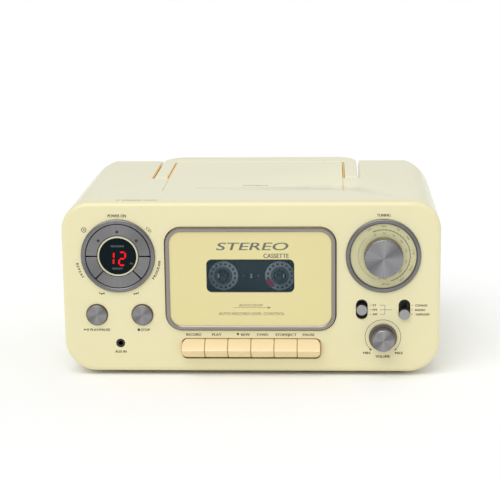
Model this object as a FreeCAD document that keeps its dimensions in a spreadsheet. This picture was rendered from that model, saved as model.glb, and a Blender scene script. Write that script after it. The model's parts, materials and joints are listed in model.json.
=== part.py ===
import FreeCAD, Part
import math
import os
import re
import Sketcher

# Mini hifi system: a mains portable with a cassette deck in front, a CD deck under a lid on top,
# a radio, side speakers, a folding carry handle and a telescopic aerial.
#
# Frame: X to the right as the user sees it, Y from front to back, Z up. The origin is on the
# surface that the set stands on, under the middle of its bounding box. Millimetres.
# Sizes that start "..._d" are depths behind the front face, so their Y is face_y plus that depth.

SIZES = {
    # cabinet
    "face_y": -94.35,             # plane of the front face
    "base_z": 3,                 # underside of the cabinet, held up by the feet
    "half_width": 140,
    "front_height": 129,         # height of the cabinet at the front face
    "rear_height": 132.2,        # height at the rear, because the top rises gently
    "depth": 192,
    "top_round": 21.4,           # rounding of the long top edges
    "bottom_round": 24,
    "rear_round": 60,            # rounding of the rear corners, seen from above
    "rear_top_round": 18,        # rounding of the top edge along the rear
    "face_round": 4,             # rounding round the front face
    "wall": 2.5,
    "seam_d": 7,                 # joint line between the front panel and the rear cabinet
    # controls on the face: both dials share a height and a distance from the middle
    "dial_x": 97.9,
    "dial_z": 91.9,
    "dial_ring_r": 27.6,
    "dial_ring_bore": 24.2,
    "dial_hole_r": 26,
    "display_r": 13.8,
    "segment_inner_r": 15.2,
    "segment_outer_r": 23.9,
    "button_offset": 17,         # play and stop buttons, either side of the dial's middle
    "button_z": 47.1,
    "button_r": 7.5,
    "button_hole_r": 8.3,
    "jack_z": 25.1,
    "jack_bore_r": 1.8,          # takes a 3.5 mm plug
    "volume_z": 30.2,
    "switch_offset": 15.7,
    "switch_z": 51.3,
    "switch_slot_w": 8.6,
    "switch_slot_tall": 15.2,
    "switch_step": 3.4,          # travel from one switch position to the next
    # cassette deck
    "door_half": 63,
    "door_low_z": 35.5,
    "door_top_z": 113.3,
    "door_round": 12,
    "trim_width": 3.2,
    "window_half": 32.5,
    "window_low_z": 64.4,
    "window_top_z": 89.4,
    "reel_x": 21.25,             # half the hub spacing of a compact cassette
    "reel_z": 72.9,
    "reel_r": 11.2,
    "capstan_x": 27,
    "capstan_z": 50,
    "flywheel_r": 22,
    "motor_x": -38,
    "pulley_r": 4,
    "pinch_r": 5.5,
    "head_lift": 5,              # travel of the head bridge from stop to play
    # piano keys
    "key_pitch": 17.2,
    "key_gap": 0.6,
    "key_top_z": 28.5,
    "key_low_z": 15,
    "key_reach": 9,              # how far the keys stand out of the face
    "key_pivot_d": 6,
    "key_pivot_z": 25,
    "key_shaft_r": 1.5,
    # compact disc deck
    "lid_half": 69,
    "lid_front_d": 43,
    "lid_rear_d": 168,
    "disc_d": 104.9,             # depth of the spindle
    "well_r": 60.7,              # clear of a 120 mm disc
    "well_floor_z": 116.5,
    "well_rim_z": 129.4,
    "scoop_r": 44,               # ball that presses the finger hollow beside the lid
    "lens_rest": 25,             # distance of the lens from the spindle at the start of a disc
    # carry handle
    "handle_half": 80.6,
    "handle_inner": 70.4,
    "handle_front_d": 96.2,
    "handle_grip_d": 169,
    "handle_rear_d": 193.7,
    "handle_end_r": 3.2,         # rounding of the arms' front ends about the pivot
    "handle_thick": 15.6,
    "handle_pin_r": 1.4,
    "handle_rise": 1.73,         # climb of the sloping top from its front edge to the handle
    "handle_proud": 0.4,         # how far the handle's top stands above the cabinet's
    "channel_half": 82.8,
    "channel_d": 95.8,
    "channel_z": 112,
    # aerial, stowed behind the rear wall
    "aerial_x": 100,
    "aerial_z": 98,
    "aerial_d": 197.5,
    "aerial_r": 3.2,
    # speakers
    "speaker_d": 98,
    "speaker_z": 66,
    "speaker_r": 36,
    # fits
    "gap": 0.3,                  # between pieces that move past each other
    "running": 0.05,             # radial clearance of a shaft in its bearing
}

KEY_NAMES = ("key_record", "key_play", "key_rewind", "key_fast_forward", "key_stop_eject", "key_pause")
# the display dial's three buttons: first angle, sweep and the angle of the stem behind it, in degrees
DIAL_BUTTONS = {
    "repeat_button": (181.5, 42.5, 202.5),
    "skip_rocker": (226, 88, 270),
    "program_button": (316, 42.5, 337.5),
}
LAMP_ANGLES = (40, 90, 140)

doc = FreeCAD.newDocument("mini_hifi_system")
sheet = doc.addObject("Spreadsheet::Sheet", "Sizes")
for row, (alias, value) in enumerate(SIZES.items(), start=1):
    sheet.set(f"A{row}", alias)
    sheet.set(f"B{row}", str(value))
    sheet.setAlias(f"B{row}", alias)
doc.recompute()

NODES = {}
FRONT = FreeCAD.Rotation(FreeCAD.Vector(1, 0, 0), 90)        # local Z points to the front, -Y
RIGHT = FreeCAD.Rotation(FreeCAD.Vector(0, 1, 0), 90)        # local Z points right, +X
PLANE_ROLES = {"x": "YZ_Plane", "y": "XZ_Plane", "z": "XY_Plane"}


def formula(text):
    """A formula in bare size names as an expression on the sheet."""
    return re.sub(r"[a-z][a-z_]+[a-z]", lambda m: "Sizes." + m[0] if m[0] in SIZES else m[0], str(text))


def bind(thing, prop, text):
    """Binds one property of an object to a formula in the size names."""
    thing.setExpression(prop, formula(text))


def value_of(text):
    """The present value of a formula in the size names."""
    return float(sheet.evalExpression(formula(text)))


def depth(text):
    """The Y of a depth behind the front face."""
    return f"face_y + ({text})"


def node(name, thing):
    """Makes an object a named piece of the set."""
    thing.Label = name
    NODES[name] = thing
    return thing


def block(x, y, z, name="block"):
    """A box between pairs of formulas for its low and high X, Y and Z."""
    box = doc.addObject("Part::Box", name)
    for prop, axis, (low, high) in (("Length", "x", x), ("Width", "y", y), ("Height", "z", z)):
        bind(box, prop, f"({high}) - ({low})")
        bind(box, "Placement.Base." + axis, low)
    return box


def rod(axis, radius, x, y, z, name="rod", sector=360, start=0):
    """A cylinder along one axis, whose coordinate is a (low, high) pair. A sector turns from
    start degrees: from +X towards +Z on a rod along Y."""
    bar = doc.addObject("Part::Cylinder", name)
    places = {"x": x, "y": y, "z": z}
    low, high = places[axis]
    places[axis] = high if axis == "y" else low
    bind(bar, "Radius", radius)
    bind(bar, "Height", f"({high}) - ({low})")
    bar.Angle = sector
    turn = {"x": RIGHT, "y": FRONT, "z": FreeCAD.Rotation()}[axis]
    bar.Placement.Rotation = turn * FreeCAD.Rotation(FreeCAD.Vector(0, 0, 1), start)
    for letter, text in places.items():
        bind(bar, "Placement.Base." + letter, text)
    return bar


def join(parts, name="join"):
    """All the parts as one shape; parts that don't touch stay separate solids."""
    if len(parts) == 1:
        return parts[0]
    union = doc.addObject("Part::MultiFuse", name)
    union.Shapes = parts
    return union


def cut(base, tools, name="cut"):
    """The base with the tools taken away."""
    result = doc.addObject("Part::Cut", name)
    result.Base = base
    result.Tool = join(tools, name + "_tools")
    return result


def overlap(parts, name="overlap"):
    """What the parts have in common."""
    result = doc.addObject("Part::MultiCommon", name)
    result.Shapes = parts
    return result


def plane_of(body, role):
    """One of a body's own origin planes."""
    return next(item for item in body.Origin.OriginFeatures if item.Role == role)


def outline(body, role, points, offset="0"):
    """A closed sketch through points given as pairs of formulas, on a plane of its body."""
    sketch = body.newObject("Sketcher::SketchObject", "outline")
    sketch.AttachmentSupport = [(plane_of(body, role), "")]
    sketch.MapMode = "FlatFace"
    bind(sketch, "AttachmentOffset.Base.z", offset)
    spots = [FreeCAD.Vector(value_of(u), value_of(v), 0) for u, v in points]
    count = len(points)
    for i in range(count):
        sketch.addGeometry(Part.LineSegment(spots[i], spots[(i + 1) % count]), False)
    for i in range(count):
        sketch.addConstraint(Sketcher.Constraint("Coincident", i, 2, (i + 1) % count, 1))
    for i, (u, v) in enumerate(points):
        for kind, text, number in (("DistanceX", u, spots[i].x), ("DistanceY", v, spots[i].y)):
            index = sketch.addConstraint(Sketcher.Constraint(kind, -1, 1, i, 1, number))
            bind(sketch, f"Constraints[{index}]", text)
    return sketch


def prism(axis, points, start, end, roundings=(), name="prism"):
    """An outline carried along an axis from start to end. Points are (Y, Z), (X, Z) or (X, Y)
    pairs for the axes x, y and z. Each rounding is (radius, test), and rounds the edges along
    the axis at whose middle point the test holds."""
    body = doc.addObject("PartDesign::Body", name)
    offset = f"-({end})" if axis == "y" else start
    sketch = outline(body, PLANE_ROLES[axis], points, offset)
    pad = body.newObject("PartDesign::Pad", "pad")
    pad.Profile = sketch
    bind(pad, "Length", f"({end}) - ({start})")
    doc.recompute()
    for radius, test in roundings:
        round_edges(body, axis, radius, test)
    return body


def round_edges(body, axis, radius, test):
    """Rounds the straight edges of a body that run along an axis and pass a test."""
    base = body.Tip
    names = []
    for number, edge in enumerate(base.Shape.Edges, start=1):
        if edge.Curve.TypeId != "Part::GeomLine":
            continue
        run = edge.Vertexes[-1].Point - edge.Vertexes[0].Point
        if abs(getattr(run, axis)) < 0.99 * run.Length:
            continue
        if test(edge.CenterOfMass):
            names.append(f"Edge{number}")
    fillet = body.newObject("PartDesign::Fillet", "rounding")
    fillet.Base = (base, names)
    bind(fillet, "Radius", radius)
    doc.recompute()


def everywhere(point):
    return True


def rounded_panel(x, z, start, end, radius, name="panel"):
    """An upright slab with four equal round corners, from depth start to depth end."""
    corners = [(x[0], z[0]), (x[1], z[0]), (x[1], z[1]), (x[0], z[1])]
    return prism("y", corners, depth(start), depth(end), [(radius, everywhere)], name)


def turned(turn, points, x, y, z, name="turned"):
    """A profile of (radius, height) pairs turned about the local Z axis and stood at a place."""
    body = doc.addObject("PartDesign::Body", name)
    sketch = outline(body, "XZ_Plane", points)
    spin = body.newObject("PartDesign::Revolution", "spin")
    spin.Profile = sketch
    spin.ReferenceAxis = (sketch, ["V_Axis"])
    spin.Angle = 360
    body.Placement.Rotation = turn
    for letter, text in (("x", x), ("y", y), ("z", z)):
        bind(body, "Placement.Base." + letter, text)
    return body


def cabinet_form(inset, name):
    """The cabinet's outer form, or the same form set in by a wall all round."""
    low = f"base_z + {inset}"
    side = [(depth(inset), low),
            (depth(f"depth - {inset}"), low),
            (depth(f"depth - {inset}"), f"base_z + rear_height - {inset}"),
            (depth(inset), f"base_z + front_height - {inset}")]
    form = prism("x", side, f"-half_width + {inset}", f"half_width - {inset}", name=name)
    middle = SIZES["front_height"] / 2
    round_edges(form, "y", f"bottom_round - {inset}", lambda p: p.z < middle)
    round_edges(form, "y", f"top_round - {inset}", lambda p: p.z > middle)
    if inset == "0":
        round_face(form)
    plan = [(f"-half_width + {inset}", depth(inset)),
            (f"half_width - {inset}", depth(inset)),
            (f"half_width - {inset}", depth(f"depth - {inset}")),
            (f"-half_width + {inset}", depth(f"depth - {inset}"))]
    rear_corners = [(f"rear_round - {inset}", lambda p: p.y > 0)]
    footprint = prism("z", plan, "0", "base_z + rear_height + 5", rear_corners, name + "_plan")
    back_top = SIZES["base_z"] + SIZES["rear_height"] - value_of(inset)
    shoulder = [(f"rear_top_round - {inset}", lambda p: p.y > 0 and abs(p.z - back_top) < 1)]
    profile = prism("x", side, "-half_width - 1", "half_width + 1", shoulder, name + "_side")
    return overlap([form, footprint, profile], name + "_form")


def round_face(form):
    """Rounds the whole edge of the front face."""
    base = form.Tip
    face = SIZES["face_y"]
    names = [f"Edge{number}" for number, edge in enumerate(base.Shape.Edges, start=1)
             if all(abs(v.Point.y - face) < 0.01 for v in edge.Vertexes)]
    fillet = form.newObject("PartDesign::Fillet", "face_rounding")
    fillet.Base = (base, names)
    bind(fillet, "Radius", "face_round")
    doc.recompute()


def front_hole(radius, x, z, name="hole"):
    """A round hole through the front wall."""
    return rod("y", radius, x, (depth(-5), depth("wall + 1")), z, name)


def switch_xs():
    return "dial_x - switch_offset", "dial_x + switch_offset"


def button_xs():
    return "-dial_x - button_offset", "-dial_x + button_offset"


def make_front_panel(outer, inner):
    """The front moulding: the face, its rim back to the seam, and posts for the tape deck."""
    ahead = block(("-half_width - 1", "half_width + 1"), (depth(-1), depth("seam_d")), ("0", "200"), "front_half")
    holes = [
        inner,
        rounded_panel(("-door_half - 0.6", "door_half + 0.6"), ("door_low_z - 0.6", "door_top_z + 0.6"),
                      -5, "wall + 1", "door_round + 0.6", "door_opening"),
        rounded_panel(("-3 * key_pitch - 0.4", "3 * key_pitch + 0.4"), ("key_low_z - 1.8", "key_top_z + 0.6"),
                      -5, "wall + 1", "4.2", "key_slot"),
        front_hole("dial_hole_r", "-dial_x", "dial_z"),
        front_hole("dial_hole_r", "dial_x", "dial_z"),
        front_hole("3.4", "-dial_x", "jack_z"),
        front_hole("4", "dial_x", "volume_z"),
        front_hole("0.9", "-9.8", "key_top_z + 3.7", "microphone_hole"),
    ]
    holes += [front_hole("button_hole_r", x, "button_z") for x in button_xs()]
    for x in switch_xs():
        holes.append(rounded_panel((f"{x} - switch_slot_w / 2", f"{x} + switch_slot_w / 2"),
                                   ("switch_z - switch_slot_tall / 2", "switch_z + switch_slot_tall / 2"),
                                   -5, "wall + 1", "switch_slot_w / 2 - 0.01", "switch_slot"))
    posts = [rod("y", "2.8", x, (depth("wall - 0.5"), depth(20)), z, "deck_post")
             for x in ("-67.5", "67.5") for z in ("40", "106")]
    face = overlap([outer, ahead], "front_blank")
    node("front_panel", join([cut(face, holes, "face_holes"), *posts], "front_panel"))


def handle_channel(name, wall):
    """The U-shaped channel that the handle folds into, or with a wall the block around it."""
    outer = block((f"-channel_half - {wall}", f"channel_half + {wall}"),
                  (depth(f"channel_d - {wall}"), depth("depth + 5")),
                  (f"channel_z - {wall}", "200"), name + "_outer")
    inner = block((f"-lid_half + 0.1 + {wall}", f"lid_half - 0.1 - {wall}"),
                  (depth("0"), depth(f"lid_rear_d + 1 - {wall}")), ("0", "201"), name + "_inner")
    return cut(outer, [inner], name)


def make_rear_cabinet(outer, inner):
    """The rear moulding, with the lid's opening, the handle's channel and the speaker slots."""
    behind = block(("-half_width - 1", "half_width + 1"), (depth("seam_d"), depth("depth + 1")),
                   ("0", "200"), "rear_half")
    hollow = cut(inner, [handle_channel("channel_wall", "wall")], "hollow")
    lid_seat = block(("-lid_half", "lid_half"), (depth("lid_front_d"), depth("lid_rear_d + 1")),
                     ("base_z + front_height - wall - 0.6", "200"), "lid_seat")
    well = block(("-lid_half + 2.6", "lid_half - 2.6"), (depth("lid_front_d + 0.8"), depth("lid_rear_d - 1.7")),
                 ("110", "200"), "well_opening")
    slots = [block(("-half_width - 5", "half_width + 5"),
                   (depth(f"speaker_d - 30 + {7 * i}"), depth(f"speaker_d - 27 + {7 * i}")),
                   ("speaker_z - 26", "speaker_z + 26"), "speaker_slot") for i in range(9)]
    vents = [block((f"{20 + 9 * i}", f"{23 + 9 * i}"), (depth("depth - wall - 2"), depth("depth + 2")),
                   ("30", "62"), "vent") for i in range(6)]
    inlet_hole = block(("-72.3", "-47.7"), (depth("depth - wall - 2"), depth("depth + 2")), ("21.7", "38.3"),
                       "inlet_hole")
    pin_holes = rod("x", "handle_pin_r", ("-channel_half - 5", "channel_half + 5"),
                    depth("handle_front_d + handle_end_r"), handle_pivot_z(), "pin_holes")
    aerial_hole = rod("y", "2.5", "aerial_x", (depth("depth - 12"), depth("depth + 2")), "aerial_z", "aerial_hole")
    shell = cut(overlap([outer, behind], "rear_blank"), [hollow], "rear_shell")
    tools = [handle_channel("handle_channel", "0"), lid_seat, well, *slots, *vents, inlet_hole, pin_holes,
             aerial_hole, finger_scoop()]
    node("rear_cabinet", cut(shell, tools, "rear_cabinet"))


def finger_scoop():
    """A shallow round hollow at the right front of the lid, to catch its edge with a finger."""
    ball = doc.addObject("Part::Sphere", "finger_scoop")
    bind(ball, "Radius", "scoop_r")
    bind(ball, "Placement.Base.x", "lid_half")
    bind(ball, "Placement.Base.y", depth("lid_front_d + 19"))
    bind(ball, "Placement.Base.z", "base_z + front_height + 1 + scoop_r - 1.8")
    return ball


def handle_top_z():
    return "base_z + front_height + handle_rise + handle_proud"


def handle_pivot_z():
    return handle_top_z() + " - handle_end_r"


def make_cd_deck():
    """The disc well, and below it the mechanism's plate, motor, guide rods and pickup sled."""
    body = block(("-lid_half + 2.9", "lid_half - 2.9"), (depth("lid_front_d - 1"), depth("lid_rear_d - 1.9")),
                 ("well_floor_z - 3", "well_rim_z"), "deck_block")
    well = rod("z", "well_r", "0", depth("disc_d"), ("well_floor_z", "150"), "disc_well")
    slot = block(("14", "lid_half - 5.6"), (depth("disc_d - 9"), depth("disc_d + 9")), ("100", "well_floor_z + 1"),
                 "lens_slot")
    hub_hole = rod("z", "17", "0", depth("disc_d"), ("100", "well_floor_z + 1"), "hub_hole")
    node("cd_well_deck", cut(body, [well, slot, hub_hole], "cd_well_deck"))

    sides = ("disc_d - 17", "disc_d + 17")
    plate = block(("-42", "lid_half - 2.8"), (depth("disc_d - 40"), depth("disc_d + 40")), ("104", "105.5"),
                  "mech_blank")
    plate_slot = block(("18", "60"), (depth("disc_d - 11"), depth("disc_d + 11")), ("100", "110"), "plate_slot")
    shaft_hole = rod("z", "4", "0", depth("disc_d"), ("100", "110"), "shaft_hole")
    rod_ends = [block((low, f"{low} + 2.5"), (depth(f"{side} - 3"), depth(f"{side} + 3")), ("105", "111.5"), "rod_end")
                for side in sides for low in ("14", "lid_half - 5.3")]
    blank = cut(plate, [plate_slot, shaft_hole], "mech_plate")
    bores = [rod("x", "1.5", ("10", "lid_half - 2"), depth(side), "109", "rod_bore") for side in sides]
    node("cd_mech_plate", cut(join([blank, *rod_ends], "mech_joined"), bores, "cd_mech_plate"))
    rods = [rod("x", "1.5", ("14", "lid_half - 2.8"), depth(side), "109", "guide_rod") for side in sides]
    node("cd_guide_rods", join(rods, "cd_guide_rods"))

    hub = [("0", "-8"), ("1.5", "-8"), ("1.5", "0"), ("15", "0.5"), ("15", "2.2"), ("7.4", "2.2"), ("7.4", "4.4"),
           ("6", "6"), ("0", "6")]
    hub_solid = turned(FreeCAD.Rotation(), hub, "0", depth("disc_d"), "well_floor_z + 0.5", "hub")
    balls = [block((f"{round(6.4 * math.cos(a), 3)} - 0.8", f"{round(6.4 * math.cos(a), 3)} + 0.8"),
                   (depth(f"disc_d + {round(6.4 * math.sin(a), 3)} - 0.8"),
                    depth(f"disc_d + {round(6.4 * math.sin(a), 3)} + 0.8")),
                   ("well_floor_z + 3.4", "well_floor_z + 5")) for a in (0.5, 2.6, 4.7)]
    node("cd_spindle_hub", join([hub_solid, *balls], "cd_spindle_hub"))
    motor = rod("z", "12", "0", depth("disc_d"), ("93", "103.9"), "motor_can")
    boss = rod("z", "3.6", "0", depth("disc_d"), ("103.9", "111"), "motor_boss")
    bore = rod("z", "1.5 + running", "0", depth("disc_d"), ("106", "115"), "motor_bore")
    node("cd_spindle_motor", cut(join([motor, boss], "motor_joined"), [bore], "cd_spindle_motor"))

    body = block(("lens_rest - 5.5", "lens_rest + 6"), (depth("disc_d - 21"), depth("disc_d + 21")),
                 ("106.3", "111.7"), "sled_block")
    sled_bores = [rod("x", "1.5 + running", ("10", "60"), depth(side), "109", "sled_bore") for side in sides]
    turret = block(("lens_rest - 5", "lens_rest + 5"), (depth("disc_d - 8"), depth("disc_d + 8")),
                   ("111.7", "115.5"), "turret")
    lens = rod("z", "3.4", "lens_rest", depth("disc_d"), ("115.4", "117.4"), "lens")
    node("cd_pickup_sled", join([cut(body, sled_bores, "sled_bored"), turret, lens], "cd_pickup_sled"))


def make_cd_lid(outer, inner):
    """The lid is a rectangle of the cabinet's own top wall, a gap smaller than its opening."""
    blank = block(("-lid_half + gap", "lid_half - gap"), (depth("lid_front_d + gap"), depth("lid_rear_d - gap")),
                  ("base_z + front_height - wall", "200"), "lid_blank")
    ring = cut(rod("z", "19", "0", depth("disc_d"), ("126.5", "base_z + front_height"), "lid_ring"),
               [rod("z", "17", "0", depth("disc_d"), ("120", "140"), "lid_ring_bore")], "lid_boss")
    skin = cut(overlap([outer, blank], "lid_top"), [inner, finger_scoop()], "lid_skin")
    node("cd_lid", join([skin, ring], "cd_lid"))


def make_handle():
    """A U-shaped handle, its arms rounded about their pivots, and the two pins that hold it."""
    pivot_z = handle_pivot_z()
    low = f"{handle_top_z()} - handle_thick"
    side = [(depth("handle_front_d"), f"{pivot_z} - handle_end_r"),
            (depth("handle_front_d + handle_thick"), low),
            (depth("handle_rear_d"), low),
            (depth("handle_rear_d"), "base_z + rear_height + handle_proud"),
            (depth("handle_front_d"), handle_top_z())]
    front = SIZES["face_y"] + SIZES["handle_front_d"]
    top = value_of(handle_top_z())
    ends = [("handle_end_r - 0.02", lambda p: abs(p.y - front) < 1 and p.z > top - 1),
            ("3", lambda p: p.y > front + 50)]
    profile = prism("x", side, "-handle_half", "handle_half", ends, "handle_side")
    plan = [("-handle_half", depth("handle_front_d")), ("handle_half", depth("handle_front_d")),
            ("handle_half", depth("handle_rear_d")), ("-handle_half", depth("handle_rear_d"))]
    footprint = prism("z", plan, "100", "150", [("22", lambda p: p.y > front + 50)], "handle_plan")
    inside = block(("-handle_inner", "handle_inner"), (depth("0"), depth("handle_grip_d")), ("100", "150"), "inside")
    pivot_d = "handle_front_d + handle_end_r"
    bore = rod("x", "handle_pin_r + running", ("-100", "100"), depth(pivot_d), pivot_z, "handle_bore")
    grip_hollow = block(("-60", "60"), (depth("handle_grip_d + 3"), depth("handle_rear_d - 3.5")),
                        ("100", f"{low} + 9.8"), "grip_hollow")
    blank = overlap([profile, footprint], "handle_blank")
    node("carry_handle", cut(blank, [inside, bore, grip_hollow], "carry_handle"))
    pins = [rod("x", "handle_pin_r", (low_x, high_x), depth(pivot_d), pivot_z, "handle_pin")
            for low_x, high_x in (("-channel_half - wall", "-lid_half - 1"), ("lid_half + 1", "channel_half + wall"))]
    node("handle_pivot_pins", join(pins, "handle_pivot_pins"))


def make_cassette_door():
    """The door with its metal trim and window, and the pocket that carries the cassette."""
    door_x = ("-door_half", "door_half")
    door_z = ("door_low_z", "door_top_z")
    panel = rounded_panel(door_x, door_z, -0.6, 2.4, "door_round", "door_panel")
    window_x = ("-window_half", "window_half")
    window_z = ("window_low_z", "window_top_z")
    opening = rounded_panel(window_x, window_z, -5, 5, "4", "window_opening")
    node("cassette_door", cut(panel, [opening], "cassette_door"))
    band = rounded_panel(door_x, door_z, -1.8, -0.6, "door_round", "trim_outer")
    inside = rounded_panel(("-door_half + trim_width", "door_half - trim_width"),
                           ("door_low_z + trim_width", "door_top_z - trim_width"),
                           -5, 5, "door_round - trim_width", "trim_inner")
    node("cassette_door_trim", cut(band, [inside], "cassette_door_trim"))
    node("cassette_window", rounded_panel(("-window_half + 0.1", "window_half - 0.1"),
                                          ("window_low_z + 0.1", "window_top_z - 0.1"), -0.2, 1.6, "3.9",
                                          "cassette_window"))
    rails = []
    for side in (-1, 1):
        wall = sorted((51 * side, 53 * side))
        lip = sorted((46 * side, 51 * side))
        rails.append(block(wall, (depth(2.4), depth(15)), ("42", "105"), "pocket_wall"))
        rails.append(block(lip, (depth(13.6), depth(15)), ("42", "105"), "pocket_lip"))
        rails.append(block(lip, (depth(2.4), depth(15)), ("42", "43.5"), "pocket_shelf"))
    node("cassette_holder", join(rails, "cassette_holder"))


def make_tape_deck():
    """The tape deck's plate and everything that turns or slides on it."""
    plate = block(("-72", "72"), (depth(20), depth(21.5)), ("34", "112"), "chassis_blank")
    bores = [rod("y", "1.5 + running", x, (depth(15), depth(25)), "reel_z", "reel_bore")
             for x in ("-reel_x", "reel_x")]
    bores.append(rod("y", "1 + running", "capstan_x", (depth(15), depth(25)), "capstan_z", "capstan_bore"))
    bores.append(rod("y", "2", "motor_x", (depth(15), depth(25)), "capstan_z", "motor_hole"))
    node("tape_chassis", cut(plate, bores, "tape_chassis"))

    table = [("0", "-2.8"), ("1.5", "-2.8"), ("1.5", "0.3"), ("reel_r", "0.3"), ("reel_r", "2.6"), ("6.4", "3.2"),
             ("3.4", "3.4"), ("3.4", "10"), ("2.2", "11.4"), ("0", "11.4")]
    for name, x in (("supply_reel_table", "-reel_x"), ("takeup_reel_table", "reel_x")):
        disc = turned(FRONT, table, x, depth(20), "reel_z", name + "_disc")
        ribs = [block((f"{x} - 4.7", f"{x} + 4.7"), (depth(10.5), depth(17)), ("reel_z - 0.8", "reel_z + 0.8")),
                block((f"{x} - 0.8", f"{x} + 0.8"), (depth(10.5), depth(17)), ("reel_z - 4.7", "reel_z + 4.7"))]
        node(name, join([disc, *ribs], name))

    wheel = [("0", "-9"), ("3", "-9"), ("3", "-8"), ("flywheel_r", "-8"), ("flywheel_r", "-3"), ("3", "-3"),
             ("1", "-2.2"), ("1", "8"), ("0", "8")]
    node("capstan_flywheel", turned(FRONT, wheel, "capstan_x", depth(20), "capstan_z", "capstan_flywheel"))
    roller = [("0.9", "0"), ("pinch_r", "0"), ("pinch_r", "6"), ("0.9", "6")]
    roller_z = "capstan_z - 1 - pinch_r - head_lift - gap"
    node("pinch_roller", turned(FRONT, roller, "capstan_x", depth(18), roller_z, "pinch_roller"))
    bridge = block(("-40", "40"), (depth(18.5), depth(19.5)), ("36.5", "46"), "bridge_plate")
    notch = rod("y", "3", "capstan_x", (depth(10), depth(25)), "capstan_z - head_lift + 0.8", "bridge_notch")
    axle = rod("y", "0.9 - running", "capstan_x", (depth(11.6), depth(19)), roller_z, "roller_axle")
    node("head_bridge", join([cut(bridge, [notch], "bridge_cut"), axle], "head_bridge"))
    head = block(("-6", "6"), (depth(10), depth(18.5)), ("38", "46"), "head_body")
    nose = rod("y", "5", "0", (depth(10.5), depth(18)), "43.5", "head_nose")
    node("tape_head", join([head, nose], "tape_head"))

    can = rod("y", "16", "motor_x", (depth(31), depth(52)), "capstan_z", "motor_can")
    motor_bore = rod("y", "1 + running", "motor_x", (depth(30), depth(40)), "capstan_z", "motor_bore")
    bracket = [block(("motor_x - 14", "motor_x - 10"), (depth(21.5), depth(33)), ("capstan_z + 10", "capstan_z + 14")),
               block(("motor_x + 10", "motor_x + 14"), (depth(21.5), depth(33)), ("capstan_z + 10", "capstan_z + 14"))]
    node("tape_motor", cut(join([can, *bracket], "motor_joined"), [motor_bore], "tape_motor"))
    pulley = [("0", "-16"), ("1", "-16"), ("1", "-8.5"), ("pulley_r", "-8.5"), ("pulley_r", "-3.5"), ("0", "-3.5")]
    node("motor_pulley", turned(FRONT, pulley, "motor_x", depth(20), "capstan_z", "motor_pulley"))
    node("drive_belt", drive_belt())


def drive_belt():
    """A flat belt round the flywheel and the pulley, a hair clear of both. Its line is an arc
    round each wheel and the two straight runs that touch them."""
    small_x, large_x = SIZES["motor_x"], SIZES["capstan_x"]
    middle_z = SIZES["capstan_z"]
    near, thick = 0.15, 0.7
    y = SIZES["face_y"] + 24.5
    rings = []
    for extra in (near, near + thick):
        small, large = SIZES["pulley_r"] + extra, SIZES["flywheel_r"] + extra
        lean = math.asin((large - small) / (large_x - small_x))
        along, across = math.sin(lean), math.cos(lean)
        point = {}
        for tag, x, r in (("small", small_x, small), ("large", large_x, large)):
            for sign in (-1, 1):
                point[tag, sign] = FreeCAD.Vector(x - r * along, y, middle_z + sign * r * across)
        left = FreeCAD.Vector(small_x - small, y, middle_z)
        right = FreeCAD.Vector(large_x + large, y, middle_z)
        rings.append(Part.Wire([
            Part.Arc(point["small", -1], left, point["small", 1]).toShape(),
            Part.LineSegment(point["small", 1], point["large", 1]).toShape(),
            Part.Arc(point["large", 1], right, point["large", -1]).toShape(),
            Part.LineSegment(point["large", -1], point["small", -1]).toShape(),
        ]))
    run = FreeCAD.Vector(0, 3, 0)
    belt = doc.addObject("Part::Feature", "drive_belt")
    belt.Shape = Part.Face(rings[1]).extrude(run).cut(Part.Face(rings[0]).extrude(run))
    return belt


def make_keys():
    """Six piano keys in a row on one shaft. The row's outer corners are rounded."""
    side = [(depth("-key_reach"), "key_top_z - 7"),
            (depth("-key_reach + 6.8"), "key_low_z"),
            (depth(4), "key_low_z"),
            (depth(10), "key_pivot_z - 5.5"),
            (depth(14), "key_pivot_z - 5.5"),
            (depth(14), "key_pivot_z + 0.5"),
            (depth(9), "key_top_z - 0.3"),
            (depth(3), "key_top_z"),
            (depth(0), "key_top_z"),
            (depth("-key_reach + 0.8"), "key_top_z - 6.2")]
    for i, name in enumerate(KEY_NAMES):
        low = f"(-3 + {i}) * key_pitch + key_gap / 2"
        high = f"(-2 + {i}) * key_pitch - key_gap / 2"
        key = prism("x", side, low, high, name=name + "_side")
        row = rounded_panel(("-3 * key_pitch + key_gap / 2", "3 * key_pitch - key_gap / 2"),
                            ("key_low_z", "key_top_z"), -12, 20, "3.8", name + "_row")
        bore = rod("x", "key_shaft_r + running", ("-60", "60"), depth("key_pivot_d"), "key_pivot_z", name + "_bore")
        node(name, cut(overlap([key, row], name + "_blank"), [bore], name))
    shaft = rod("x", "key_shaft_r", ("-57", "57"), depth("key_pivot_d"), "key_pivot_z", "shaft_bar")
    ears = [block((low, high), (depth("wall"), depth(9)), ("key_pivot_z - 4", "key_pivot_z + 4"), "shaft_ear")
            for low, high in (("-56.5", "-53.5"), ("53.5", "56.5"))]
    node("key_shaft", join([shaft, *ears], "key_shaft"))


def sector(x, start, sweep, front, back, name):
    """Part of a flat ring about the display, from one angle round to another."""
    span = (depth(front), depth(back))
    wide = rod("y", "segment_outer_r", x, span, "dial_z", name + "_wide", sweep, start)
    core = rod("y", "segment_inner_r + gap", x, (depth(-9), depth(30)), "dial_z", name + "_core")
    return cut(wide, [core], name)


def dial_rod(radius, distance, angle, front, back, name):
    """A rod through the display dial, at a distance and an angle from its middle."""
    across = round(distance * math.cos(math.radians(angle)), 3)
    up = round(distance * math.sin(math.radians(angle)), 3)
    return rod("y", radius, f"-dial_x + {across}", (depth(front), depth(back)), f"dial_z + {up}", name)


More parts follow.
